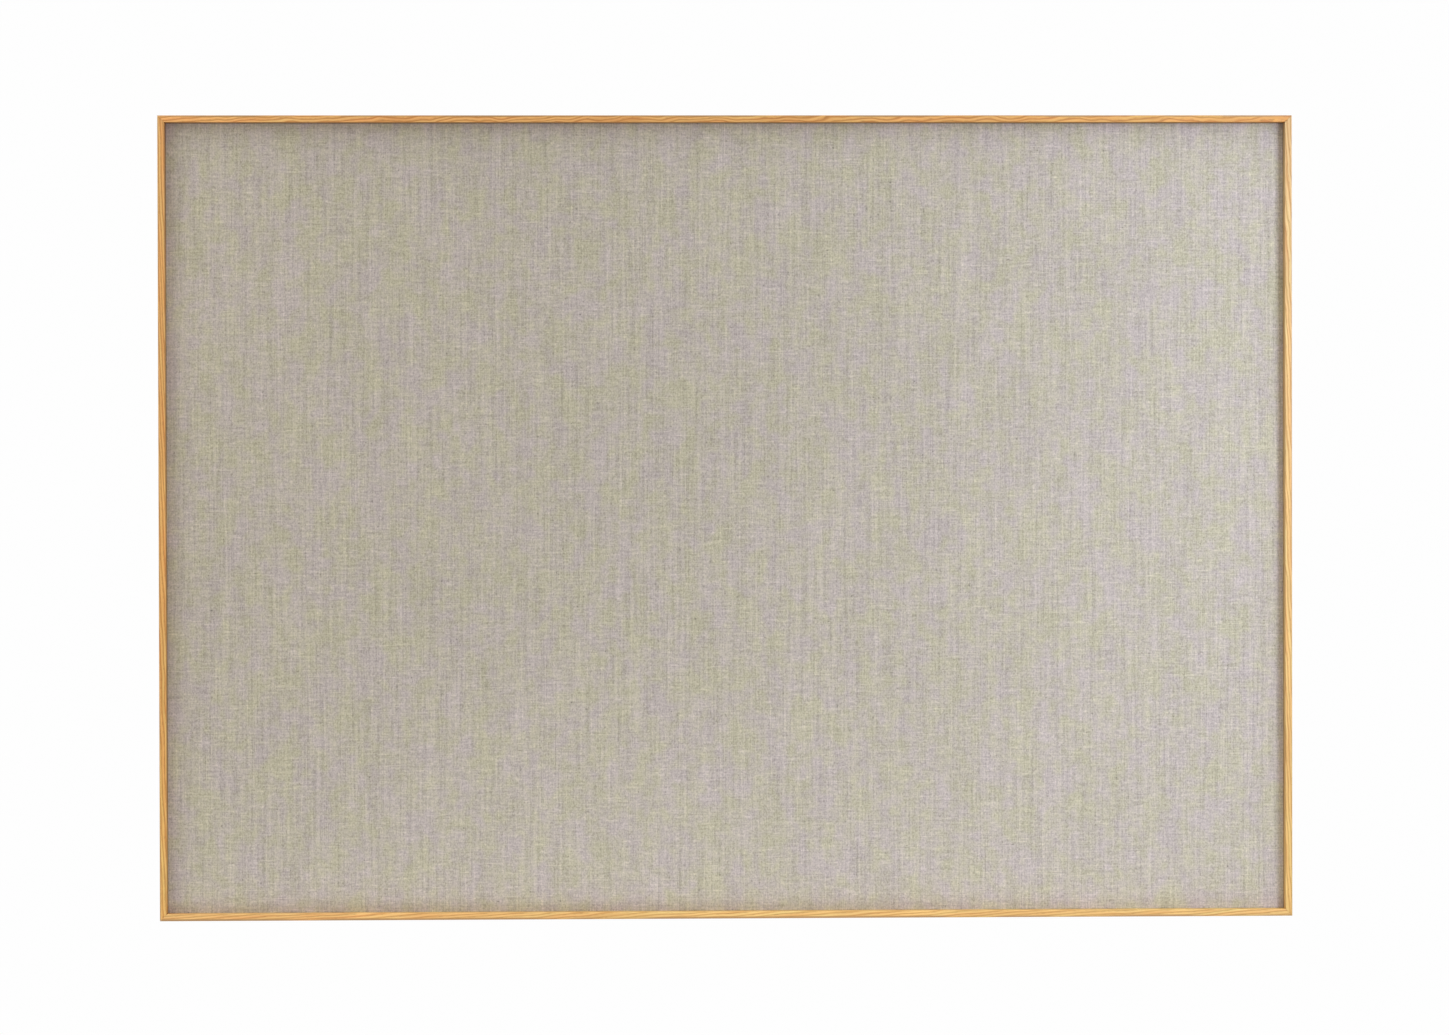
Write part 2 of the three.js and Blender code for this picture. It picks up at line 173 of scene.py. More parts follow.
def tinted(color, amount):
    return take(color.tree, "ShaderNodeVectorMath", {0: color, "Scale": amount}, operation="SCALE")


def vector(tree, x=0.0, y=0.0, z=0.0):
    return take(tree, "ShaderNodeCombineXYZ", {0: x, 1: y, 2: z})


def axesOf(place):
    node = addNode(place.tree, "ShaderNodeSeparateXYZ", {0: place})
    return [Value(place.tree, axis) for axis in node.outputs]


def moved(place, **changes):
    return take(place.tree, "ShaderNodeMapping", {"Vector": place, **changes})


# Noise whose cells measure that many metres along each axis, or along all of them.
def noise(place, cells, seed, detail=2, rough=0.5):
    if not isinstance(cells, tuple):
        cells = (cells, cells, cells)
    shift = (seed, 1.7 * seed, 2.3 * seed)
    spot = moved(place, Location=shift, Scale=tuple(1 / cell for cell in cells))
    inputs = {"Vector": spot, "Scale": 1.0, "Detail": detail, "Roughness": rough}
    return take(place.tree, "ShaderNodeTexNoise", inputs)


def ramp(value, stops):
    node = addNode(value.tree, "ShaderNodeValToRGB", {0: value})
    points = node.color_ramp.elements
    while len(points) < len(stops):
        points.new(1.0)
    for point, (position, color) in zip(points, stops):
        point.position = position
        point.color = (*color, 1)
    return Value(value.tree, node.outputs[0])


def bumped(height, distance, strength=1.0):
    inputs = {"Height": height, "Distance": distance, "Strength": strength}
    return take(height.tree, "ShaderNodeBump", inputs)


def newMaterial(name):
    material = bpy.data.materials.new(name)
    material.use_nodes = True
    material.node_tree.nodes.clear()
    return material


def ownPlace(material):
    return take(material.node_tree, "ShaderNodeTexCoord", output="Object")


# Ends a material with its shader. The finish names the shader's inputs, with "_" for each space.
def coat(material, **finish):
    inputs = {name.replace("_", " "): value for name, value in finish.items()}
    surface = take(material.node_tree, "ShaderNodeBsdfPrincipled", inputs)
    addNode(material.node_tree, "ShaderNodeOutputMaterial", {"Surface": surface})
    return material


studio = {
    "backdrop": 0.99,
    "ambient": 0.5646,
    "ambientColor": (1.0, 0.99, 0.875, 1),
    "fromAbove": 1.25,  # how much brighter the studio is overhead than level, and darker underfoot
    "fromSides": 0.6,  # how much brighter at both sides than straight before the board
    "fromLeft": 0.25,  # and on the left than on the right
    "lamps": {
        "windowLamp": {
            "place": (1.0, -0.96, 0.237),
            "aim": (0.75, 0.0, 0.0),
            "size": (0.3, 1.1),
            "power": 10.37,
            "color": (0.751, 0.859, 1.0),
        },
        "leftLamp": {
            "place": (-0.92, -0.4, 0.35),
            "aim": (-0.57, 0.0, 0.0),
            "size": (0.3, 1.1),
            "power": 0.93,
            "color": (0.962, 1.0, 0.902),
        },
        "lowLamp": {
            "place": (-0.14, -0.34, -0.623),
            "aim": (-0.14, 0.0, -0.35),
            "size": (1.34, 0.2),
            "power": 0.92,
            "color": (0.832, 0.905, 1.0),
        },
        "rearLamp": {
            "place": (-2.4, 3.2, 2.4),
            "aim": (0.0, 0.0, 0.0),
            "size": (2.6, 2.6),
            "power": 48,
            "color": (1.0, 1.0, 1.0),
        },
    },
    "floorLevel": -1.45,
    "floorHalf": 3.0,
    "floorColor": (0.5, 0.5, 0.495),
    "floorShade": (0.47, 0.47, 0.465),
    "floorCloud": 0.4,
    "floorLift": 0.5,  # what the camera and gloss see on top of the floor's own light
}


# 1 for the rays that should meet a white studio, 0 for those that light the object.
def seenDirectly(tree):
    path = addNode(tree, "ShaderNodeLightPath")
    kinds = ("Is Camera Ray", "Is Glossy Ray", "Is Transmission Ray")
    direct, mirrored, through = (Value(tree, path.outputs[kind]) for kind in kinds)
    return calc("MAXIMUM", calc("MAXIMUM", direct, mirrored), through)


def lightStudio():
    world = bpy.data.worlds.new("studio")
    world.use_nodes = True
    scene.world = world
    tree = world.node_tree
    tree.nodes.clear()
    x, _, z = axesOf(take(tree, "ShaderNodeTexCoord", output="Generated"))
    share = z * studio["fromAbove"] + 1.0 + calc("ABSOLUTE", x) * studio["fromSides"]
    share = share - x * studio["fromLeft"]
    inputs = {"Color": studio["ambientColor"], "Strength": share * studio["ambient"]}
    glow = take(tree, "ShaderNodeBackground", inputs)
    white = take(tree, "ShaderNodeBackground", {"Color": (1, 1, 1, 1), "Strength": studio["backdrop"]})
    seen = take(tree, "ShaderNodeMixShader", {0: seenDirectly(tree), 1: glow, 2: white})
    addNode(tree, "ShaderNodeOutputWorld", {"Surface": seen})
    for name, lamp in studio["lamps"].items():
        data = bpy.data.lights.new(name, "AREA")
        data.shape = "RECTANGLE"
        data.size, data.size_y = lamp["size"]
        data.energy = lamp["power"]
        data.color = lamp["color"]
        placed = addObject(name, data)
        placed.location = lamp["place"]
        facing = Vector(lamp["place"]) - Vector(lamp["aim"])
        placed.rotation_euler = facing.to_track_quat("Z", "Y").to_euler()
        placed.visible_camera = False


def layFloor():
    half = studio["floorHalf"]
    level = studio["floorLevel"]
    spots = [(-half, -half, level), (half, -half, level), (half, half, level), (-half, half, level)]
    floor = makePiece("floor", spots, [(0, 1, 2, 3)])
    material = newMaterial("paleFloor")
    cloud = noise(ownPlace(material), studio["floorCloud"], 0, 3)
    tone = mixed(cloud, studio["floorColor"], studio["floorShade"])
    lift = ranged(seenDirectly(cloud.tree), 0, 1, 0, studio["floorLift"])
    white = (1, 1, 1, 1)
    coat(material, Base_Color=tone, Roughness=0.9, Emission_Color=white, Emission_Strength=lift)
    floor.data.materials.append(material)


lightStudio()
layFloor()
print("studio lit")


# Woods. Growth rings lie round a pith beside the piece and cross it at a slight angle, so that they
# run out along it as long flames. Grain runs along X, or along Z where it stands.
def woodMaterial(name, look, stands, seed):
    material = newMaterial(name)
    local = ownPlace(material)
    quarter = math.radians(90) if stands else 0.0
    turn = (math.radians(look["lean"]), quarter, 0)
    grain = moved(local, Rotation=turn, Location=(3.1 * seed, 0, 0))
    slope = math.radians(look["runOut"])
    pith = (0, look["pithBehind"], look["pithAside"] + 0.011 * seed)
    tilted = moved(grain, Rotation=(0, slope, slope * 0.6), Location=pith)
    across = product(tilted, (0, 1, 1))
    radius = take(local.tree, "ShaderNodeVectorMath", {0: across}, "Value", operation="LENGTH")
    sway = noise(grain, (0.16, 0.03, 0.03), seed)
    wave = noise(grain, (0.032, 0.02, 0.02), seed + 2, 1)
    shiver = noise(grain, (0.03, 0.004, 0.004), seed + 3)
    bent = radius + sway * look["sway"] + wave * look["wave"] + shiver * (look["sway"] * 0.08)
    year = calc("FRACT", bent / look["ringPitch"])
    late = ranged(year, 0.66, 0.96, 0, look["lateWood"])
    color = mixed(late, ramp(year, look["rings"]), look["streakColor"])

    # Fine fibre, broad clouds of tone and warmth, dark streaks, and open pores in the early part of
    # each ring, all laid along the bent rings.
    along, behind, _ = axesOf(tilted)
    flow = vector(local.tree, along, bent, behind)
    fibre = noise(flow, (0.045, 0.0004, 0.0004), seed + 5, 4, 0.6)
    cloud = noise(flow, (0.11, 0.012, 0.012), seed + 7)
    streak = noise(flow, (0.05, 0.0019, 0.006), seed + 8)
    blush = noise(flow, (0.14, 0.005, 0.012), seed + 6, 3, 0.65)
    dash = noise(flow, (0.006, 0.00028, 0.00028), seed + 9, 1)
    color = tinted(color, ranged(fibre, 0.3, 0.7, 1 - look["fibre"], 1 + look["fibre"]))
    color = tinted(color, ranged(cloud, 0.25, 0.75, 1 - look["cloud"], 1 + look["cloud"]))
    redder, yellower = ((1.0, 1 + shift, 1 + 1.3 * shift) for shift in (-look["blush"], look["blush"]))
    color = product(color, mixed(ranged(blush, 0.32, 0.68), redder, yellower))
    color = mixed(ranged(streak, 0.5, 0.72, 0, look["streaks"]), color, look["streakColor"])
    pores = ranged(dash, 0.56, 0.63) * ranged(year, 0.55, 0.2)
    color = mixed(pores * look["pores"], color, look["poreColor"])

    # Each strip's colour changes from its left or lower end to the other one: partly the strip's own
    # tone, partly painted light and shade along its length.
    x, _, z = axesOf(local)
    ends = ranged(z if stands else x, -look["reach"], look["reach"])
    color = product(color, mixed(ends, *look["lightAndToneAlong"]))

    # Painted shade darkens the inner walls of the top rail and the stiles, and painted light brightens
    # the bottom rail's upward inner wall. Painted shade also darkens the rounded outer edges.
    paintedWallShading, edgeShadeMask = (
        take(local.tree, "ShaderNodeAttribute", output="Fac", attribute_name=name)
        for name in ("paintedWallShading", "edge")
    )
    color = mixed(paintedWallShading, color, look["paintedWallTone"], "MULTIPLY")
    edgeShadeAmount = edgeShadeMask * ranged(cloud, 0.4, 0.6, 0.15, look["edgeShade"])
    color = mixed(edgeShadeAmount, color, look["edgeShadeColor"])
    rough = ranged(fibre, 0.3, 0.7, look["roughness"] - 0.08, look["roughness"] + 0.1)
    relief = bumped(fibre - pores * 0.8, look["relief"], 0.6)
    return coat(material, Base_Color=color, Roughness=rough, Normal=relief)


oakLook = {
    "roughness": 0.6,
    "lean": 4,
    "runOut": 2.4,
    "pithBehind": 0.045,
    "pithAside": 0.06,
    "ringPitch": 0.003,
    "sway": 0.009,
    "wave": 0.002,
    "rings": [
        (0.0, (0.54, 0.247, 0.069)),
        (0.22, (0.75, 0.405, 0.144)),
        (0.62, (0.805, 0.46, 0.175)),
        (0.86, (0.65, 0.322, 0.1)),
        (1.0, (0.50, 0.219, 0.059)),
    ],
    "fibre": 0.07,
    "cloud": 0.1,
    "blush": 0.13,
    "lateWood": 0.0,
    "reach": 0.6,
    "streaks": 0.75,
    "streakColor": (0.50, 0.20, 0.05),
    "pores": 0.6,
    "poreColor": (0.33, 0.15, 0.045),
    "edgeShade": 0.7,
    "edgeShadeColor": (0.40, 0.22, 0.085),
    "edgeShadeReach": 2.2 * mm,  # where the painted shade on the outer edge ends on the face
    # painted shade on the inner walls, as a tone that multiplies their colour
    "paintedWallTone": (0.62, 0.66, 0.72),
    "relief": 0.00012,
}
oakPieces = {
    "top_rail": {
        "name": "topRail",
        "seed": 1.0,
        "lightAndToneAlong": ((1.07, 1.01, 0.97), (0.867, 0.796, 0.582)),
        "paintedWallShading": 0.55,
        "edgeShade": 1.4,
        "runOut": 5.0,
        "wave": 0.01,
        "cloud": 0.06,
        "lateWood": 0.85,
        "streaks": 0.45,
    },
    "bottom_rail": {
        "name": "bottomRail",
        "seed": 2.0,
        "lightAndToneAlong": ((0.965, 1.026, 1.074), (0.852, 0.971, 0.90)),
        # Painted light: this rail's inner wall faces up, and a tone above 1 brightens it.
        "paintedWallShading": 1.0,
        "paintedWallTone": (1.2, 1.28, 1.34),
        # strongest painted shade on this rail's outer edge, which faces down
        "edgeShade": 2.0,
        "edgeShadeReach": 2.6 * mm,
        "runOut": 3.6,
        "streaks": 0.4,
    },
    "left_stile": {
        "name": "leftStile",
        "seed": 3.0,
        "lightAndToneAlong": ((0.994, 1.01, 0.832), (0.877, 0.851, 0.819)),
        "reach": 0.425,
        "paintedWallShading": 0.5,
        "runOut": 1.6,
        "lateWood": 0.7,
        "streaks": 0.5,
    },
    "right_stile": {
        "name": "rightStile",
        "seed": 4.0,
        "lightAndToneAlong": ((0.979, 1.115, 1.085), (0.874, 1.055, 1.432)),
        "reach": 0.425,
        "paintedWallShading": 0.4,
        "runOut": 4.2,
        "wave": 0.004,
        "streaks": 0.35,
    },
}
pineLook = {
    "roughness": 0.62,
    "lean": 18,
    "runOut": 0.8,
    "pithBehind": 0.03,
    "pithAside": 0.05,
    "ringPitch": 0.0034,
    "sway": 0.006,
    "wave": 0.0,
    "rings": [
        (0.0, (0.70, 0.51, 0.29)),
        (0.45, (0.73, 0.55, 0.32)),
        (0.82, (0.62, 0.40, 0.19)),
        (0.95, (0.52, 0.31, 0.13)),
        (1.0, (0.69, 0.50, 0.28)),
    ],
    "fibre": 0.05,
    "cloud": 0.07,
    "blush": 0.02,
    "lightAndToneAlong": ((1, 1, 1), (1, 1, 1)),
    "lateWood": 0.0,
    "reach": 0.6,
    "streaks": 0.2,
    "streakColor": (0.55, 0.34, 0.15),
    "pores": 0.12,
    "poreColor": (0.42, 0.26, 0.12),
    "edgeShade": 0.25,
    "edgeShadeColor": (0.76, 0.60, 0.38),
    "paintedWallTone": (0.8, 0.78, 0.75),
    "relief": 0.0001,
}
linenLook = {
    "threadPitch": 0.00082,
    "uneven": 0.0007,  # how far the threads wander
    "olive": (0.451, 0.412, 0.322),
    "mauve": (0.459, 0.396, 0.397),
    "warp": 1.42,
    "broadWarp": 0.15,
    "weft": 0.85,
    "grain": 1.45,
    "crossGrain": 1.0,
    "speck": 0.28,
    "slub": 0.14,
    "fluff": (0.56, 0.51, 0.43),
}


# Linen reads its own map, in metres of cloth, so that the threads turn over the edges with it.
def linenMaterial(name):
    material = newMaterial(name)
    cloth = take(material.node_tree, "ShaderNodeUVMap", uv_map="weave")
    broadWarp = noise(cloth, (0.006, 0.2, 1), 2)
    speck = noise(cloth, (0.0032, 0.0034, 1), 6, 0)
    patch = noise(cloth, (0.03, 0.05, 1), 7, 2, 0.6)
    blot = noise(cloth, (0.012, 0.014, 1), 8, 1)
    wide = noise(cloth, (0.3, 0.35, 1), 9)
    wander = noise(cloth, (0.009, 0.009, 1), 10, 2, 0.6)

    # Plain weave: warp on top in one cell, weft in the next.
    x, y, _ = axesOf(cloth)
    pitch = linenLook["threadPitch"]
    runs = [axis + wander * linenLook["uneven"] for axis in (x, y)]
    strands = [calc("SINE", run * (math.pi / pitch)) for run in runs]
    turnOver = strands[0] * strands[1] * 0.45
    warpTop = calc("ABSOLUTE", strands[0]) * (turnOver + 0.55)
    weftTop = calc("ABSOLUTE", strands[1]) * (0.55 - turnOver)
    weave = calc("MAXIMUM", warpTop, weftTop)
    warpShows = ranged(warpTop - weftTop, -0.1, 0.1, 0.25, 0.75)
    weftShows = 1.0 - warpShows

    # Each thread keeps its tone across its width, and changes along its length.
    warpThread, weftThread = (calc("SNAP", run, pitch) for run in runs)
    alongWarp = vector(cloth.tree, warpThread, y)
    alongWeft = vector(cloth.tree, x, weftThread)
    warp = noise(alongWarp, (0.0014, 0.07, 1), 1, 3, 0.6)
    weft = noise(alongWeft, (0.03, 0.0014, 1), 3)
    warpGrain = noise(alongWarp, (0.0011, 0.0026, 1), 4, 1)
    weftGrain = noise(alongWeft, (0.0022, 0.0012, 1), 12, 1)
    slub = noise(alongWeft, (0.011, 0.0012, 1), 5, 0)
    warpTone = (warp - 0.5) * linenLook["warp"] + (warpGrain - 0.5) * linenLook["grain"]
    weftTone = (weft - 0.5) * linenLook["weft"] + (weftGrain - 0.5) * linenLook["crossGrain"]
    lightness = warpTone * warpShows + weftTone * weftShows + 1.0
    lightness = lightness + (broadWarp - 0.5) * linenLook["broadWarp"]
    lightness = lightness + ranged(slub, 0.63, 0.75) * linenLook["slub"]
    lightness = lightness - ranged(speck, 0.79, 0.84) * linenLook["speck"]
    # Thread tops are painted lighter and the hollows between threads darker: painted highlight and
    # painted shade in the weave.
    lightness = lightness * ranged(weave, 0.2, 0.9, 0.9, 1.06) * ranged(wide, 0.3, 0.7, 0.985, 1.015)
    hue = patch * 0.55 + blot * 0.45 + (warpShows - 0.5) * 0.08
    color = mixed(ranged(hue, 0.38, 0.62), linenLook["olive"], linenLook["mauve"])
    relief = bumped(warp * 0.6 + slub * 0.5 + weave, 0.00022, 0.7)
    return coat(
        material,
        Base_Color=tinted(color, lightness),
        Roughness=0.88,
        Normal=relief,
        Sheen_Weight=0.12,
        Sheen_Roughness=0.6,
        Specular_IOR_Level=0.25,
    )


# The cloth's single threads, where they come loose.
def looseLinenMaterial():
    material = newMaterial("looseLinen")
    place = ownPlace(material)
    tone = noise(place, 0.003, 1)
    fibre = noise(place, 0.0004, 2)
    color = mixed(ranged(tone, 0.35, 0.65), linenLook["olive"], linenLook["fluff"])
    relief = bumped(fibre, 0.00005, 0.6)
    return coat(material, Base_Color=color, Roughness=0.9, Normal=relief, Sheen_Weight=0.12)


boardLook = {
    "dark": (0.165, 0.088, 0.040),
    "brown": (0.30, 0.175, 0.085),
    "paleFibre": (0.48, 0.32, 0.17),
    "meshPitch": 0.0016,
    "softDark": (0.27, 0.22, 0.15),
    "soft": (0.47, 0.40, 0.29),
    "flake": (0.62, 0.58, 0.5),
}


# Hardboard: pressed brown fibre, with the print of the press's wire screen on its back.
def hardBoardMaterial():
    material = newMaterial("brownHardboard")
    place = ownPlace(material)
    clump = noise(place, 0.012, 1, 4, 0.65)
    lengthways = noise(place, (0.007, 0.001, 0.0006), 2, 3, 0.6)
    upright = noise(place, (0.0006, 0.001, 0.007), 3, 3, 0.6)
    fibres = calc("MAXIMUM", lengthways, upright)
    wide = noise(place, 0.35, 4, 3)
    x, _, z = axesOf(place)
    turns = 2 * math.pi / boardLook["meshPitch"]
    screen = calc("SINE", x * turns) + calc("SINE", z * turns)
    blend = ranged(clump * 0.5 + fibres * 0.5, 0.4, 0.66)
    color = mixed(blend, boardLook["dark"], boardLook["brown"])
    color = mixed(ranged(upright, 0.72, 0.78, 0, 0.5), color, boardLook["paleFibre"])
    color = tinted(color, ranged(wide, 0.3, 0.7, 0.9, 1.1))
    rough = ranged(clump, 0.3, 0.7, 0.5, 0.72)
    relief = bumped(screen * 0.18 + fibres, 0.0002, 0.8)
    return coat(material, Base_Color=color, Roughness=rough, Normal=relief)


def softBoardMaterial():
    material = newMaterial("softFibreBoard")
    place = ownPlace(material)
    clump = noise(place, 0.004, 1, 5, 0.7)
    flake = noise(place, 0.0015, 2)
    color = mixed(ranged(clump, 0.35, 0.65), boardLook["softDark"], boardLook["soft"])
    color = mixed(ranged(flake, 0.66, 0.72, 0, 0.6), color, boardLook["flake"])
    return coat(material, Base_Color=color, Roughness=0.95, Normal=bumped(clump, 0.0005, 0.8))


zincLook = {
    "stain": (0.56, 0.54, 0.475),
    "plate": ("zincPlate", (0.50, 0.52, 0.54), 0.36, (0.004, 0.00025, 0.00025)),
    "screw": ("brightZinc", (0.57, 0.59, 0.61), 0.28, 0.0006),
}


# Zinc-plated steel: clouded, with drawn scratches, bluer or yellower where the bath ran off.
def zincMaterial(name, color, roughness, scratchCells):
    material = newMaterial(name)
    place = ownPlace(material)
    cloud = noise(place, 0.006, 1, 4, 0.6)
    stain = noise(place, 0.013, 2)
    scratch = noise(place, scratchCells, 3, 3, 0.6)
    tone = mixed(ranged(stain, 0.35, 0.65), color, zincLook["stain"])
    tone = tinted(tone, ranged(cloud, 0.3, 0.7, 0.86, 1.06))
    rough = ranged(cloud, 0.3, 0.7, -0.08, 0.1) + ranged(scratch, 0.3, 0.7, -0.05, 0.08) + roughness
    relief = bumped(scratch, 0.00003, 0.5)
    return coat(material, Base_Color=tone, Metallic=1.0, Roughness=rough, Normal=relief)


rubberLook = {"black": (0.022, 0.022, 0.024), "dusty": (0.085, 0.083, 0.08)}


def rubberMaterial():
    material = newMaterial("blackRubber")
    place = ownPlace(material)
    dust = noise(place, 0.0035, 2, 4, 0.65)
    color = mixed(ranged(dust, 0.5, 0.75, 0, 0.6), rubberLook["black"], rubberLook["dusty"])
    rough = ranged(dust, 0.35, 0.7, 0.55, 0.85)
    relief = bumped(noise(place, 0.0004, 1, 3, 0.6), 0.00006, 0.7)
    return coat(material, Base_Color=color, Roughness=rough, Normal=relief, Specular_IOR_Level=0.35)


linen = linenMaterial("naturalLinen")
looseLinen = looseLinenMaterial()
hardBoard = hardBoardMaterial()
softBoard = softBoardMaterial()
plateSteel = zincMaterial(*zincLook["plate"])
screwSteel = zincMaterial(*zincLook["screw"])
rubber = rubberMaterial()
print("materials made")


# Meshes.
def faceOutwards(piece):
    shape = bmesh.new()
    shape.from_mesh(piece.data)
    bmesh.ops.remove_doubles(shape, verts=shape.verts, dist=1e-7)
    bmesh.ops.recalc_face_normals(shape, faces=shape.faces)
    shape.to_mesh(piece.data)
    shape.free()


# Modifiers become part of the mesh, and edges sharper than the angle stay crisp.
def settle(piece, sharp=35):
    graph = bpy.context.evaluated_depsgraph_get()
    made = bpy.data.meshes.new_from_object(
        piece.evaluated_get(graph), preserve_all_data_layers=True, depsgraph=graph
    )
    piece.modifiers.clear()
    old = piece.data
    piece.data = made
    bpy.data.meshes.remove(old)
    made.name = piece.name
    made.shade_smooth()
    made.set_sharp_from_angle(angle=math.radians(sharp))
    return piece


def easeEdges(piece, width, segments=2, limit=50):
    bevel = piece.modifiers.new("ease", "BEVEL")
    bevel.width = width
    bevel.segments = segments
    bevel.limit_method = "ANGLE"
    bevel.angle_limit = math.radians(limit)
    bevel.use_clamp_overlap = True


def cutAway(piece, cutter):
    cut = piece.modifiers.new("cut", "BOOLEAN")
    cut.operation = "DIFFERENCE"
    cut.solver = "EXACT"
    cut.object = cutter
    settle(piece)
    bpy.data.objects.remove(cutter)


# A solid between two outlines, the second one's points after the first one's.
def makeSolid(name, points):
    count = len(points) // 2
    faces = [tuple(range(count)), tuple(range(2 * count - 1, count - 1, -1))]
    for i in range(count):
        j = (i + 1) % count
        faces.append((i, j, count + j, count + i))
    piece = makePiece(name, points, faces)
    faceOutwards(piece)
    return piece


# An outline in X and Z, made solid between two depths.
def prism(name, outline, front, back):
    return makeSolid(name, [(x, depth, z) for depth in (front, back) for x, z in outline])


def gridFaces(rows, columns):
    starts = [j * columns + i for j in range(rows - 1) for i in range(columns - 1)]
    return [(a, a + 1, a + columns + 1, a + columns) for a in starts]


# Round cutters along Y: each pair of the profile is a depth from the place and a radius.
def roundCutter(profile, places, sides=28):
    points = []
    faces = []
    for place in places:
        start = len(points)
        for depth, radius in profile:
            for k in range(sides):
                angle = 2 * math.pi * k / sides
                around = Vector((radius * math.cos(angle), depth, radius * math.sin(angle)))
                points.append(Vector(place) + around)
        for ring in range(len(profile) - 1):
            for k in range(sides):
                here = start + ring * sides
                n = (k + 1) % sides
                faces.append((here + k, here + n, here + sides + n, here + sides + k))
        faces.append(tuple(range(start, start + sides)))
        faces.append(tuple(range(len(points) - sides, len(points))))
    piece = makePiece("cutter", points, faces)
    faceOutwards(piece)
    return piece


def arc(middle, radius, start, end, steps):
    spots = []
    for k in range(steps + 1):
        angle = math.radians(start + (end - start) * k / steps)
        spots.append((middle[0] + radius * math.cos(angle), middle[1] + radius * math.sin(angle)))
    return spots


def dress(piece, material):
    piece.data.materials.clear()
    piece.data.materials.append(material)


# Pieces that a node tree grows come with their material.
def finishPiece(piece, slot, *nodes, material=None, body="board"):
    if material:
        dress(piece, material)
    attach(piece, body)
    if nodes:
        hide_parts(*nodes)


railSizes = {
    "outerArris": 1.0 * mm,
    "innerArris": 0.35 * mm,
    "lip": 0.25 * mm,  # how far the inner walls lean in at the front, but for the top one
    "backArris": 0.5 * mm,
    "steps": 6,
    "ease": 0.12 * mm,
    "wedgeLeg": 4 * mm,
    "wedgeThickness": 0.5 * mm,
    "wedgeInset": 4 * mm,
    "wedgeSlot": 12.45 * mm,
    "clearance": 0.15 * mm,
    "past": 1 * mm,  # how far a cutter reaches past the face that it cuts
    "near": 0.01 * mm,
}


# The slot for a corner's steel wedge: a V with its point on the mitre.
def wedgeCutter(cornerX, cornerZ, sideX, sideZ, back):
    grow = railSizes["clearance"]
    thick = railSizes["wedgeThickness"] / 2 + grow
    leg = railSizes["wedgeLeg"] + grow
    spread = math.radians(60)
    mitre = math.radians(45)

    def polar(angle, radius):
        return Vector((math.cos(angle), math.sin(angle))) * radius

    def legEnd(side, offset):
        return polar(mitre + side * spread, leg) + polar(mitre + side * (spread + math.pi / 2), offset)

    heel = thick / math.sin(spread)
    outline = [polar(mitre, -heel), legEnd(-1, thick), legEnd(-1, -thick)]
    outline += [polar(mitre, heel), legEnd(1, -thick), legEnd(1, thick)]
    inset = railSizes["wedgeInset"]
    spots = [(cornerX - sideX * (p.x + inset), cornerZ - sideZ * (p.y + inset)) for p in outline]
    return prism("wedgeCutter", spots, back - railSizes["wedgeSlot"], back + railSizes["past"])


# A rail's section is drawn inwards from its outer face, and its ends follow the mitre.
def makeRail(node, look):
    low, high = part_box(node)
    wide, tall = high.x - low.x, high.z - low.z
    stands = tall > wide
    length, face = (tall, wide) if stands else (wide, tall)
    outer, inner, rear = (railSizes[key] for key in ("outerArris", "innerArris", "backArris"))
    steps = railSizes["steps"]
    look = {**oakLook, **look}
    edgeShadeReach = look["edgeShadeReach"]
    section = arc((outer, low.y + outer), outer, 180, 270, steps)
    section += [(edgeShadeReach, low.y)]
    lip = 0.0 if node == "top_rail" else railSizes["lip"]
    section += arc((face + lip - inner, low.y + inner), inner, 270, 360, steps)
    section += [(face, high.y)]
    section += arc((rear, high.y - rear), rear, 90, 180, steps)
    near, far = (low.x, high.x) if stands else (low.z, high.z)
    side = -1 if near < 0 else 1
    outside = near if side < 0 else far
    points = []
    for end in (-1, 1):
        for inward, depth in section:
            along = end * (length / 2 - inward)
            across = outside - side * inward
            points.append((across, depth, along) if stands else (along, depth, across))
    rail = makeSolid(look["name"], points)
    reach = Vector(cadBox[1])
    for sideX, sideZ in corners.values():
        if (sideX if stands else sideZ) == side:
            cutAway(rail, wedgeCutter(sideX * reach.x, sideZ * reach.z, sideX, sideZ, high.y))
    easeEdges(rail, railSizes["ease"], 2, 40)
    settle(rail, 30)

    # Vertices on the rounded outer edge carry painted shade, and those on the inner wall carry the
    # painted wall shading.
    edgeShadeMask = rail.data.attributes.new("edge", "FLOAT", "POINT")
    kept = rail.data.attributes.new("paintedWallShading", "FLOAT", "POINT")
    edges = []
    walls = []
    for vertex in rail.data.vertices:
        inward = abs(outside - (vertex.co.x if stands else vertex.co.z))
        nearFront = vertex.co.y < low.y + outer
        fade = (edgeShadeReach - inward) / (edgeShadeReach - outer * 0.8)
        edges.append(min(1.0, max(0.0, fade)) if nearFront else 0.0)
        onWall = inward > face - railSizes["near"] and vertex.co.y >= low.y
        walls.append(look["paintedWallShading"] if onWall else 0.0)
    edgeShadeMask.data.foreach_set("value", edges)
    kept.data.foreach_set("value", walls)
    oak = woodMaterial(look["name"] + "Oak", look, stands, look["seed"])
    finishPiece(rail, "oak", node, material=oak)


for node, look in oakPieces.items():
    makeRail(node, look)
print("oak frame made")


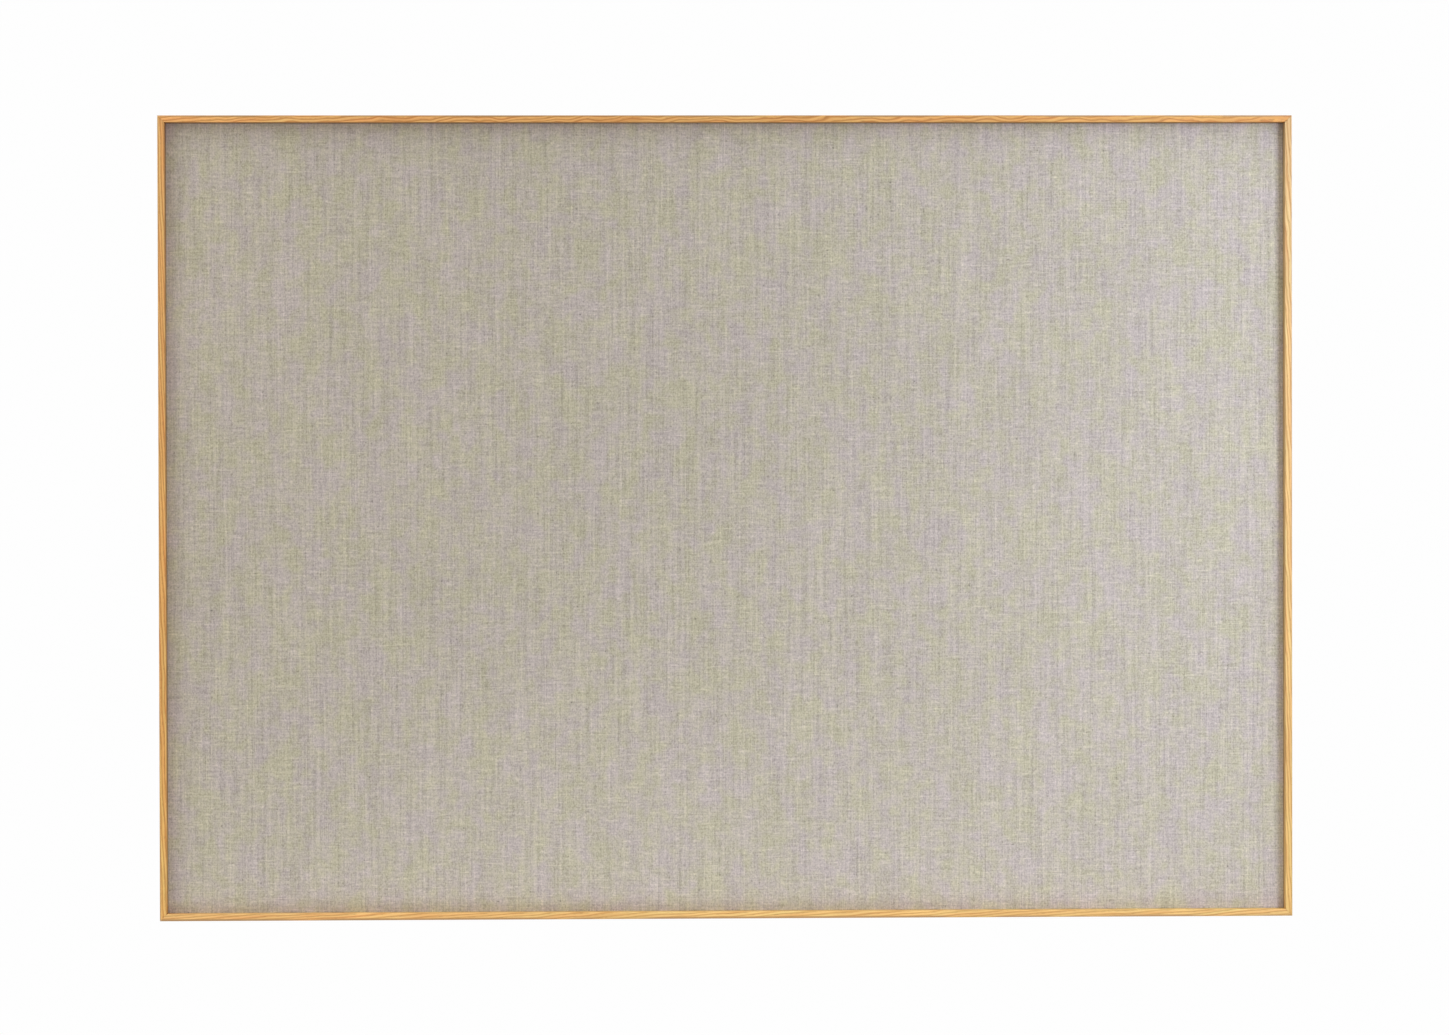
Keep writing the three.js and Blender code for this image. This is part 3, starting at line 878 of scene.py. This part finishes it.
linenSizes = {
    "edgeRadius": 0.5 * mm,
    "edgeSteps": 4,
    "thickness": 0.7 * mm,
    "margin": 36 * mm,
    "cell": 12 * mm,
    "unevenness": 0.22 * mm,
    "rest": 0.2 * mm,  # how far the cloth bulges on to the bottom rail that it rests on
    "restShare": 0.1,  # of the half height, over which it does
    "level": 8 * mm,  # how far in from its edge the front starts to be uneven
    "fade": 60 * mm,
    "pressed": 20.6 * mm,  # how far in the battens hold the folds flat
    "foldReach": 31 * mm,
    "foldStart": 0.9 * mm,
    "foldEase": 2 * mm,
    "frontLines": [step * mm for step in (3, 6, 10, 16, 24, 30, 32, 40)],
    "backLines": [step * mm for step in (5, 12, 19, 20.6, 21.6, 22.8, 27, 31, 34, 35.6)],
}


# Distances in from an edge: fine where the cloth turns, then wider and wider.
def edgeLines():
    radius = linenSizes["edgeRadius"]
    steps = linenSizes["edgeSteps"]
    turns = [math.radians(45) * (1 - k / steps) for k in range(steps + 1)]
    return [radius * (1 - math.tan(turn)) for turn in turns] + linenSizes["frontLines"]


def gridLines(half):
    *near, last = edgeLines()
    reach = half - last
    inner = np.linspace(-reach, reach, round(2 * reach / linenSizes["cell"]) + 1)
    return [-half + step for step in near] + list(inner) + [half - step for step in reversed(near)]


def makeLinen():
    low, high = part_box("linen_cover")
    halfX, halfZ = high.x, high.z
    radius = linenSizes["edgeRadius"]
    margin = linenSizes["margin"]
    xs = gridLines(halfX)
    zs = gridLines(halfZ)
    columns = len(xs)
    rows = len(zs)
    points = [(x, low.y, z) for z in zs for x in xs]
    faces = gridFaces(rows, columns)
    kinds = ["front"] * len(faces)  # which way each face's threads run on: front, or over a side

    # The front's border, anticlockwise as seen from the front, goes back and in as rings.
    border = list(range(columns))
    border += [j * columns + columns - 1 for j in range(1, rows)]
    border += [(rows - 1) * columns + i for i in range(columns - 2, -1, -1)]
    border += [j * columns for j in range(rows - 2, 0, -1)]
    kindOf = ["bottom"] * (columns - 1) + ["right"] * (rows - 1)
    kindOf += ["top"] * (columns - 1) + ["left"] * (rows - 1)
    depth = high.y - low.y
    turning = [step for step in edgeLines() if step <= radius + 1e-9]
    downs = turning[1:] + [depth / 2] + [depth - step for step in reversed(turning)]
    ins = turning[1:] + linenSizes["backLines"] + [margin]
    rings = [(0.0, low.y + down) for down in downs] + [(step, high.y) for step in ins]
    previous = border
    for inward, y in rings:
        ring = []
        for index in border:
            x, _, z = points[index]
            spot = [x * (1 - inward / halfX), y, z * (1 - inward / halfZ)]
            ring.append(len(points))
            points.append(spot)
        for i in range(len(border)):
            j = (i + 1) % len(border)
            faces.append((previous[j], previous[i], ring[i], ring[j]))
            kinds.append(kindOf[i])
        previous = ring

    places = np.array(points, float)
    sharp = places.copy()
    middle = np.array([0, (low.y + high.y) / 2, 0])
    inside = np.array([halfX, depth / 2, halfZ]) - radius
    held = np.clip(sharp - middle, -inside, inside) + middle
    away = sharp - held
    length = np.linalg.norm(away, axis=1)
    onSkin = length > 1e-9
    places[onSkin] = held[onSkin] + away[onSkin] / length[onSkin, None] * radius

    # The stretched front is not dead flat.
    x, z = places[:, 0], places[:, 2]
    wave = np.sin(21 * x + 3 * z + 0.4) * np.cos(17 * z - 5 * x) + 0.6 * np.sin(43 * x - 29 * z + 1.9)
    flat = np.minimum(halfX - np.abs(x), halfZ - np.abs(z))
    fade = np.clip((flat - linenSizes["level"]) / linenSizes["fade"], 0, 1)
    front = sharp[:, 1] < low.y + 1e-6
    places[front, 1] -= (linenSizes["unevenness"] * fade * (0.5 + wave / 3.2))[front]
    lowest = np.clip(1 - (1 + places[:, 2] / halfZ) / linenSizes["restShare"], 0, 1)
    places[:, 2] -= linenSizes["rest"] * lowest

    # Top and bottom margins fold over the side ones on the diagonal, and are double from there to the
    # end of the fold.
    backward = sharp[:, 1] > high.y - 1e-6
    inX = halfX - np.abs(sharp[:, 0])
    inZ = halfZ - np.abs(sharp[:, 2])
    ease = linenSizes["foldEase"]
    reach = linenSizes["foldReach"]
    pressed = linenSizes["pressed"]
    doubled = np.interp(inX - inZ, [0.0, linenSizes["foldStart"], reach - ease, reach], [0, 1, 1, 0])
    doubled *= np.interp(inZ, [pressed, pressed + ease], [0, 1])
    doubled[~backward] = 0
    places[:, 1] += doubled * linenSizes["thickness"]
    cover = makePiece("linenCover", places, faces)

    # The map of the threads, face by face, so that each side runs on from the front.
    weave = cover.data.uv_layers.new(name="weave")
    down = np.clip(sharp[:, 1] - low.y, 0, depth)
    for face, kind in zip(cover.data.polygons, kinds):
        for loop in face.loop_indices:
            index = cover.data.loops[loop].vertex_index
            x, _, z = sharp[index]
            run = down[index]
            sign = 1 if kind in ("top", "right") else -1
            if kind in ("top", "bottom"):
                z = sign * (halfZ + run + inZ[index])
            elif kind in ("left", "right"):
                x = sign * (halfX + run + inX[index])
            weave.data[loop].uv = (x, z)
    shell = cover.vertex_groups.new(name="layers")
    for index, double in enumerate(doubled):
        shell.add([index], 0.5 + 0.5 * double, "REPLACE")
    thicken = cover.modifiers.new("thicken", "SOLIDIFY")
    thicken.thickness = 2 * linenSizes["thickness"]
    thicken.vertex_group = "layers"
    thicken.offset = -1
    thicken.use_even_offset = True
    settle(cover, 60)
    finishPiece(cover, "linen", "linen_cover", material=linen)


makeLinen()
coats = {"pin_core": softBoard, "carrier_board": hardBoard}
coats.update({"mitre_wedge_" + corner: plateSteel for corner in corners})
for node, material in coats.items():
    dress(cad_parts[node], material)
print("linen panel made")


battenSizes = {"ease": 0.7 * mm, "segments": 3}
screwSizes = {
    "headRadius": 3 * mm,
    "sink": 1.4 * mm,
    "shank": 1.5 * mm,
    "clearance": 0.15 * mm,
    "headClearance": 0.2 * mm,
    "above": 4 * mm,  # how far the drill's hole runs on above the head
    "strapBelow": 1.6 * mm,  # from a hanger screw's top down to the strap that its head sits on
    "headTop": {"panel": -5.3 * mm, "plate": -3.55 * mm},
    "length": {"panel": 14 * mm, "plate": 6.5 * mm, "hanger": 6 * mm},
}


# Where a screw stands: on its CAD node's axis, at the level of its head.
def screwPlace(node, level):
    low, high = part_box(node)
    return Vector(((low.x + high.x) / 2, level, (low.z + high.z) / 2))


panelScrews = [f"panel_screw_{i}" for i in range(1, 11)]
plateScrews = {corner: [f"plate_screw_{corner}_{i}" for i in range(1, 5)] for corner in corners}
hangerScrews = {side: [f"hanger_screw_{side}_{i}" for i in (1, 2)] for side in sides}
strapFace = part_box("hanger_screw_left_1")[1].y - screwSizes["strapBelow"]
panelPlaces = [screwPlace(node, screwSizes["headTop"]["panel"]) for node in panelScrews]
platePlaces = {
    corner: [screwPlace(node, screwSizes["headTop"]["plate"]) for node in nodes]
    for corner, nodes in plateScrews.items()
}
hangerPlaces = {
    side: [screwPlace(node, strapFace) for node in nodes] for side, nodes in hangerScrews.items()
}


lengths = screwSizes["length"]


def flat(groups):
    return [item for group in groups.values() for item in group]


def plainHole(length):
    shank = screwSizes["shank"] + screwSizes["clearance"]
    return [(-length - screwSizes["clearance"], shank), (screwSizes["above"], shank)]


def countersunkHole(length):
    foot, (above, shank) = plainHole(length)
    head = screwSizes["headRadius"] + screwSizes["headClearance"]
    return [foot, (-screwSizes["sink"], shank), (0, head), (above, head)]


# Drills each kind of hole at those of its places that lie on the node that the piece stands for.
def drill(piece, node, *kinds):
    low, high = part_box(node)
    for profile, places in kinds:
        found = [spot for spot in places if low.x < spot.x < high.x and low.z < spot.z < high.z]
        if found:
            cutAway(piece, roundCutter(profile, found))


def makeBatten(node, name, seed):
    low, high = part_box(node)
    stands = high.z - low.z > high.x - low.x
    outline = [(low.x, low.z), (high.x, low.z), (high.x, high.z), (low.x, high.z)]
    batten = prism(name, outline, low.y, high.y)
    easeEdges(batten, battenSizes["ease"], battenSizes["segments"])
    settle(batten)
    drill(
        batten,
        node,
        (countersunkHole(lengths["panel"]), panelPlaces),
        (plainHole(lengths["plate"]), flat(platePlaces)),
        (plainHole(lengths["hanger"]), flat(hangerPlaces)),
    )
    pine = woodMaterial(name + "Pine", pineLook, stands, seed)
    finishPiece(batten, "batten_wood", node, material=pine)


for number, side in enumerate(("top", "bottom", "left", "right")):
    makeBatten(side + "_batten", side + "Batten", 5.0 + number)
print("battens made")


plateSizes = {"leg": 45 * mm, "width": 12 * mm, "rounding": 2.5 * mm, "steps": 6, "ease": 0.18 * mm}


def makePlate(corner, sideX, sideZ):
    node = "corner_plate_" + corner
    low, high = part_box(node)
    leg, width, soft = (plateSizes[key] for key in ("leg", "width", "rounding"))
    steps = plateSizes["steps"]
    outline = [(0, 0)]
    outline += arc((leg - soft, soft), soft, -90, 0, steps)
    outline += arc((leg - soft, width - soft), soft, 0, 90, steps)
    outline += [(width, width)]
    outline += arc((width - soft, leg - soft), soft, 0, 90, steps)
    outline += arc((soft, leg - soft), soft, 90, 180, steps)
    cornerX = high.x if sideX > 0 else low.x
    cornerZ = high.z if sideZ > 0 else low.z
    spots = [(cornerX - sideX * along, cornerZ - sideZ * up) for along, up in outline]
    name = "cornerPlate" + corner.title().replace("_", "")
    plate = prism(name, spots, low.y, high.y)
    easeEdges(plate, plateSizes["ease"])
    settle(plate)
    drill(plate, node, (countersunkHole(lengths["plate"]), platePlaces[corner]))
    finishPiece(plate, "plate_steel", node, material=plateSteel)


for corner, (sideX, sideZ) in corners.items():
    makePlate(corner, sideX, sideZ)
print("corner plates made")


hangerSizes = {
    "axisLevel": -2.7 * mm,
    "axisHeight": 295 * mm,
    "strapWidth": 10 * mm,
    "strapLength": 40 * mm,
    "thickness": 1 * mm,
    "rows": [step * mm for step in (10, 20, 30)],
    "ease": 0.12 * mm,
    "rounding": 3 * mm,
    "curl": 1.8 * mm,  # radius of the curl's middle line
    "curlEnd": -60,  # degrees
    "wire": 1.1 * mm,
    "ringWidth": 7.6 * mm,  # half, at the middle of the wire
    "ringDrop": 13 * mm,
    "ringBend": 2.2 * mm,
}


# The strap is a strip that runs up the batten and curls round the ring's bar.
def makeStrap(side, middleX):
    half = hangerSizes["strapWidth"] / 2
    soft = hangerSizes["rounding"]
    axis = (hangerSizes["axisLevel"], hangerSizes["axisHeight"])
    flatLevel = axis[0] - hangerSizes["curl"]
    foot = axis[1] - hangerSizes["strapLength"]
    line = [(flatLevel, z, wide) for z, wide in arc((foot + soft, half - soft), soft, 180, 90, 6)]
    line += [(flatLevel, foot + up, half) for up in hangerSizes["rows"]]
    line += [(y, z, half) for y, z in arc(axis, hangerSizes["curl"], 180, hangerSizes["curlEnd"], 20)]
    shares = (-1, -0.5, 0, 0.5, 1)
    points = [(middleX + share * reach, y, z) for y, z, reach in line for share in shares]
    strap = makePiece("hangerStrap" + side.title(), points, gridFaces(len(line), len(shares)))
    thicken = strap.modifiers.new("thicken", "SOLIDIFY")
    thicken.thickness = hangerSizes["thickness"]
    thicken.offset = 0
    settle(strap)
    faceOutwards(strap)
    node = "hanger_strap_" + side
    drill(strap, node, (plainHole(2 * hangerSizes["thickness"]), hangerPlaces[side]))
    easeEdges(strap, hangerSizes["ease"], 2, 60)
    settle(strap)
    finishPiece(strap, "plate_steel", node, material=plateSteel)


# The ring hangs from its straight bar as one closed loop of wire.
def makeRing(side, middleX):
    half = hangerSizes["ringWidth"]
    bend = hangerSizes["ringBend"]
    bow = half - hangerSizes["ringDrop"]
    loop = arc((half - bend, -bend), bend, 90, 0, 8)
    loop += arc((0, bow), half, 0, -180, 28)
    loop += arc((bend - half, -bend), bend, 180, 90, 8)
    data = bpy.data.curves.new("loop", "CURVE")
    data.dimensions = "3D"
    data.bevel_depth = hangerSizes["wire"]
    data.bevel_resolution = 5
    wire = data.splines.new("POLY")
    wire.points.add(len(loop) - 1)
    for point, (x, z) in zip(wire.points, loop):
        point.co = (middleX + x, hangerSizes["axisLevel"], hangerSizes["axisHeight"] + z, 1)
    wire.use_cyclic_u = True
    path = addObject("loop", data)
    graph = bpy.context.evaluated_depsgraph_get()
    mesh = bpy.data.meshes.new_from_object(path.evaluated_get(graph))
    bpy.data.objects.remove(path)
    ring = addObject("hangerRing" + side.title(), mesh)
    faceOutwards(ring)
    mesh.shade_smooth()
    finishPiece(ring, "screw_steel", "hanger_ring_" + side, material=screwSteel, body=side + "_ring")


for side in sides:
    middle = screwPlace(hangerScrews[side][0], 0).x
    makeStrap(side, middle)
    makeRing(side, middle)
print("hangers made")


# Geometry Nodes, for what repeats.
class Tree:
    def __init__(self, name, sizes):
        self.group = bpy.data.node_groups.new(name, "GeometryNodeTree")
        self.group.interface.new_socket("Geometry", in_out="INPUT", socket_type="NodeSocketGeometry")
        for label, value in sizes.items():
            kind = "NodeSocketInt" if isinstance(value, int) else "NodeSocketFloat"
            socket = self.group.interface.new_socket(label, in_out="INPUT", socket_type=kind)
            socket.default_value = value
        self.group.interface.new_socket("Geometry", in_out="OUTPUT", socket_type="NodeSocketGeometry")
        self.entry = self.group.nodes.new("NodeGroupInput")
        self.sizes = sizes

    def size(self, label):
        return Value(self.group, self.entry.outputs[label])

    def add(self, kind, inputs=None, **settings):
        return take(self.group, "GeometryNode" + kind, inputs, **settings)

    def vector(self, x=0.0, y=0.0, z=0.0):
        return vector(self.group, x, y, z)

    def moved(self, shape, **changes):
        return self.add("Transform", {"Geometry": shape, **changes})

    def circle(self, count, radius):
        return self.add("CurvePrimitiveCircle", {"Resolution": count, "Radius": radius})

    def swept(self, path, profile, **changes):
        inputs = {"Curve": path, "Profile Curve": profile, "Fill Caps": True, **changes}
        return self.add("CurveToMesh", inputs)

    # A body turned about Z: the profile gives a radius, as a share of the widest, at each share of
    # the way down from the top.
    def turned(self, top, length, radius, profile, steps, around=20):
        ends = {"Start": self.vector(z=top), "End": self.vector(z=top - length)}
        line = self.add("CurvePrimitiveLine", ends)
        line = self.add("ResampleCurve", {"Curve": line, "Count": steps})
        share = take(self.group, "GeometryNodeSplineParameter", output="Factor")
        shape = addNode(self.group, "ShaderNodeFloatCurve", {"Value": share})
        curve = shape.mapping.curves[0]
        while len(curve.points) < len(profile):
            curve.points.new(0.5, 0.5)
        for point, (down, wide) in zip(curve.points, profile):
            point.location = (down, wide)
            point.handle_type = "VECTOR"
        shape.mapping.update()
        return self.swept(line, self.circle(around, radius), Scale=Value(self.group, shape.outputs[0]))

    # A random number between two ends for each point. Inputs 2 and 3 are the ends, 8 the seed.
    def chance(self, low, high, offset=0):
        inputs = {2: low, 3: high, 8: self.size("Seed") + offset}
        return take(self.group, "FunctionNodeRandomValue", inputs, 1, data_type="FLOAT")

    def eitherWay(self, label, offset=0):
        return self.chance(self.size(label) * -1.0, self.size(label), offset)

    # Points along the lines, and the turn that lays X along the line and keeps Y pointing back.
    def pointsAlong(self):
        run = self.add("MeshToCurve", {"Mesh": self.size("Geometry")})
        run = self.add("ResampleCurve", {"Curve": run, "Length": self.size("Spacing")}, mode="LENGTH")
        tangent = self.add("InputTangent")
        kind = "FunctionNodeAlignRotationToVector"
        turn = take(self.group, kind, {"Vector": tangent}, axis="X", pivot_axis="AUTO")
        inputs = {"Vector": (0.0, 1.0, 0.0), "Rotation": turn}
        return run, take(self.group, kind, inputs, axis="Y", pivot_axis="X")

    def turnEach(self, placed, turn):
        inputs = {"Instances": placed, "Rotation": turn, "Local Space": True}
        return self.add("RotateInstances", inputs)

    # Sets the shape on every point, with Z turned to +Y, and each turned about its own axis at random.
    def standOn(self, shape, spin):
        points = self.add("MeshToPoints", {"Mesh": self.size("Geometry")})
        inputs = {"Points": points, "Instance": shape, "Rotation": (-math.pi / 2, 0, 0)}
        placed = self.add("InstanceOnPoints", inputs)
        return self.turnEach(placed, self.vector(z=self.chance(0.0, spin)))

    def finish(self, geometry, material):
        solid = self.add("RealizeInstances", {"Geometry": geometry})
        coated = self.add("SetMaterial", {"Geometry": solid, "Material": material})
        addNode(self.group, "NodeGroupOutput", {0: coated})

    # Runs the tree on loose points or lines and keeps the result as a plain mesh.
    def grow(self, name, points, edges=(), **sizes):
        piece = makePiece(name, points, edges=edges)
        modifier = piece.modifiers.new("build", "NODES")
        modifier.node_group = self.group
        for item in self.group.interface.items_tree:
            if item.in_out == "INPUT" and item.name in self.sizes:
                modifier[item.identifier] = sizes.get(item.name, self.sizes[item.name])
        return settle(piece)


screwShape = {
    "Head Radius": 2.95 * mm,
    "Head Height": 1.4 * mm,
    "Head Rise": 0.0,
    "Core Radius": 1.05 * mm,
    "Thread Radius": 1.48 * mm,
    "Thread Pitch": 1.25 * mm,
    "Length": 14 * mm,
    "Recess Reach": 1.65 * mm,
    "Recess Width": 0.55 * mm,
    "Recess Depth": 1.1 * mm,
    "Seed": 4,
}
headProfiles = {
    "countersunk": [(0, 0.96), (0.06, 1.0), (0.16, 1.0), (1.0, 0.4)],
    "pan": [(0, 0.3), (0.12, 0.62), (0.3, 0.86), (0.55, 0.98), (0.7, 1.0), (0.94, 1.0), (1.0, 0.95)],
}
panHead = {
    "Head Radius": 2.65 * mm,
    "Head Height": 1.6 * mm,
    "Head Rise": 1.58 * mm,
    "Recess Reach": 1.5 * mm,
}
shaftProfile = [(0, 1), (0.72, 1), (1, 0.12)]
threadedShare = 0.74
threadStart = 0.12  # as a share of the shaft, up from its tip


# A cross-recessed wood screw for every point, its head's top at the rise above the point.
def screwTree(kind):
    tree = Tree(kind + "Screws", screwShape)
    rise = tree.size("Head Rise")
    height = tree.size("Head Height")
    head = tree.turned(rise, height, tree.size("Head Radius"), headProfiles[kind], 14, 28)
    reach = tree.size("Recess Reach")
    depth = tree.size("Recess Depth")
    wide = reach * math.sqrt(2)
    inputs = {"Vertices": 4, "Radius Top": wide, "Radius Bottom": wide * 0.4, "Depth": depth * 2.0}
    wing = tree.moved(tree.add("MeshCone", inputs), Rotation=(0, 0, math.radians(45)))
    narrow = tree.size("Recess Width") / reach * 0.5
    wing = tree.moved(wing, Scale=tree.vector(1.0, narrow, 1.0))
    wing = tree.moved(wing, Translation=tree.vector(z=rise - depth))
    crossing = tree.moved(wing, Rotation=(0, 0, math.radians(90)))
    inputs = {"Mesh 1": head, "Mesh 2": [wing, crossing]}
    head = tree.add("MeshBoolean", inputs, operation="DIFFERENCE", solver="EXACT")
    under = rise - height * 0.9
    length = tree.size("Length")
    shaft = length + under
    core = tree.turned(under, shaft, tree.size("Core Radius"), shaftProfile, 12, 16)
    pitch = tree.size("Thread Pitch")
    threaded = shaft * threadedShare
    rim = pitch * 0.2
    inputs = {
        "Resolution": 14,
        "Rotations": threaded / pitch,
        "Start Radius": tree.size("Core Radius") * 0.85,
        "End Radius": tree.size("Thread Radius") - rim,
        "Height": threaded,
    }
    coil = tree.swept(tree.add("CurveSpiral", inputs), tree.circle(3, rim))
    coil = tree.moved(coil, Translation=tree.vector(z=shaft * threadStart - length))
    screw = tree.add("JoinGeometry", {0: [coil, core, head]})
    tree.finish(tree.standOn(screw, math.pi / 2), screwSteel)
    return tree


def driveScrews(tree, name, nodes, places, **sizes):
    screws = tree.grow(name, places, **sizes)
    finishPiece(screws, "screw_steel", *nodes)


countersunk = screwTree("countersunk")
pan = screwTree("pan")
driveScrews(countersunk, "panelScrews", panelScrews, panelPlaces, Length=lengths["panel"], Seed=3)
nodes, places = flat(plateScrews), flat(platePlaces)
driveScrews(countersunk, "plateScrews", nodes, places, Length=lengths["plate"], Seed=8)
nodes, places = flat(hangerScrews), flat(hangerPlaces)
driveScrews(pan, "hangerScrews", nodes, places, Length=lengths["hanger"], Seed=5, **panHead)
print("screws driven")


bumperShape = {"Radius": 5 * mm, "Height": 5 * mm, "Seed": 1}
bumperProfile = [(0, 0.1), (0.02, 0.55), (0.06, 0.82), (0.16, 0.97), (0.3, 1.0), (1.0, 1.0)]


def makeBumpers():
    tree = Tree("wallBumpers", bumperShape)
    height = tree.size("Height")
    pad = tree.turned(height, height, tree.size("Radius"), bumperProfile, 36, 40)
    tree.finish(tree.standOn(pad, math.pi), rubber)
    nodes = ["wall_bumper_" + corner for corner in corners]
    pads = tree.grow("wallBumpers", [screwPlace(node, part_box(node)[0].y) for node in nodes])
    finishPiece(pads, "bumper_rubber", *nodes)


makeBumpers()
print("bumpers made")


# Lines round the back of the panel, that far in from its edge, short of the corners and above the
# cloth or under it.
def backLines(inward, short, above):
    low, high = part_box("linen_cover")
    x, z, level = high.x - inward, high.z - inward, high.y + above
    ends = [((-x, -z), (x, -z)), ((x, -z), (x, z)), ((x, z), (-x, z)), ((-x, z), (-x, -z))]
    points = []
    for start, end in ends:
        a, b = Vector(start), Vector(end)
        step = (b - a).normalized() * short
        points += [(a.x + step.x, level, a.y + step.y), (b.x - step.x, level, b.y - step.y)]
    return points, [(0, 1), (2, 3), (4, 5), (6, 7)]


stapleShape = {
    "Spacing": 46 * mm,
    "Crown": 10 * mm,
    "Leg": 6 * mm,
    "Shoulder": 0.9 * mm,
    "Wire Width": 1.2 * mm,
    "Wire Thickness": 0.5 * mm,
    "Tilt": 0.16,
    "Slip": 3 * mm,
    "Drift": 1.2 * mm,
    "Seed": 11,
}
stapleLine = {"inward": 29 * mm, "short": 21 * mm, "above": 0.2 * mm}


def makeStaples():
    tree = Tree("staples", stapleShape)
    half = tree.size("Crown") * 0.5
    leg = tree.size("Leg") * -1.0
    ends = {
        "Point 1": tree.vector(half * -1.0, leg),
        "Point 2": tree.vector(half * -1.0),
        "Point 3": tree.vector(half),
        "Point 4": tree.vector(half, leg),
    }
    path = tree.add("CurvePrimitiveQuadrilateral", ends, mode="POINTS")
    path = tree.add("SetSplineCyclic", {"Geometry": path, "Cyclic": False})
    inputs = {"Curve": path, "Radius": tree.size("Shoulder"), "Count": 4}
    path = tree.add("FilletCurve", inputs, mode="POLY")
    section = {"Width": tree.size("Wire Thickness"), "Height": tree.size("Wire Width")}
    wire = tree.swept(path, tree.add("CurvePrimitiveQuadrilateral", section))
    run, turn = tree.pointsAlong()
    placed = tree.add("InstanceOnPoints", {"Points": run, "Instance": wire, "Rotation": turn})
    placed = tree.turnEach(placed, tree.vector(y=tree.eitherWay("Tilt")))
    shift = tree.vector(x=tree.eitherWay("Slip", 1), z=tree.eitherWay("Drift", 2))
    inputs = {"Instances": placed, "Translation": shift, "Local Space": True}
    tree.finish(tree.add("TranslateInstances", inputs), screwSteel)
    finishPiece(tree.grow("staples", *backLines(**stapleLine)), "screw_steel")


makeStaples()


frayShape = {
    "Spacing": 1.7 * mm,
    "Thread Length": 5 * mm,
    "Thread Radius": 0.16 * mm,
    "Spread": 0.5,
    "Seed": 23,
}
frayLine = {"inward": linenSizes["margin"] - 0.6 * mm, "short": 1 * mm, "above": -0.45 * mm}


# Loose thread ends along the raw edge of the cloth's margin, lying on the board.
def makeFray():
    tree = Tree("looseThreads", frayShape)
    reach = tree.size("Thread Length")
    ends = {
        "Resolution": 6,
        "Start": tree.vector(),
        "Middle": tree.vector(x=reach * 0.2, z=reach * 0.55),
        "End": tree.vector(x=reach * -0.1, z=reach),
    }
    line = tree.add("CurveQuadraticBezier", ends)
    thread = tree.swept(line, tree.circle(3, tree.size("Thread Radius")))
    run, turn = tree.pointsAlong()
    inputs = {"Points": run, "Instance": thread, "Rotation": turn, "Scale": tree.chance(0.25, 1.3, 1)}
    placed = tree.add("InstanceOnPoints", inputs)
    placed = tree.turnEach(placed, tree.vector(y=tree.eitherWay("Spread", 2)))
    other = calc("ROUND", tree.chance(0.0, 1.0, 3)) * math.pi
    tree.finish(tree.turnEach(placed, tree.vector(z=other)), looseLinen)
    finishPiece(tree.grow("looseThreads", *backLines(**frayLine)), "linen")


makeFray()
print("staples and loose threads made")

scene.view_settings.view_transform = "Standard"
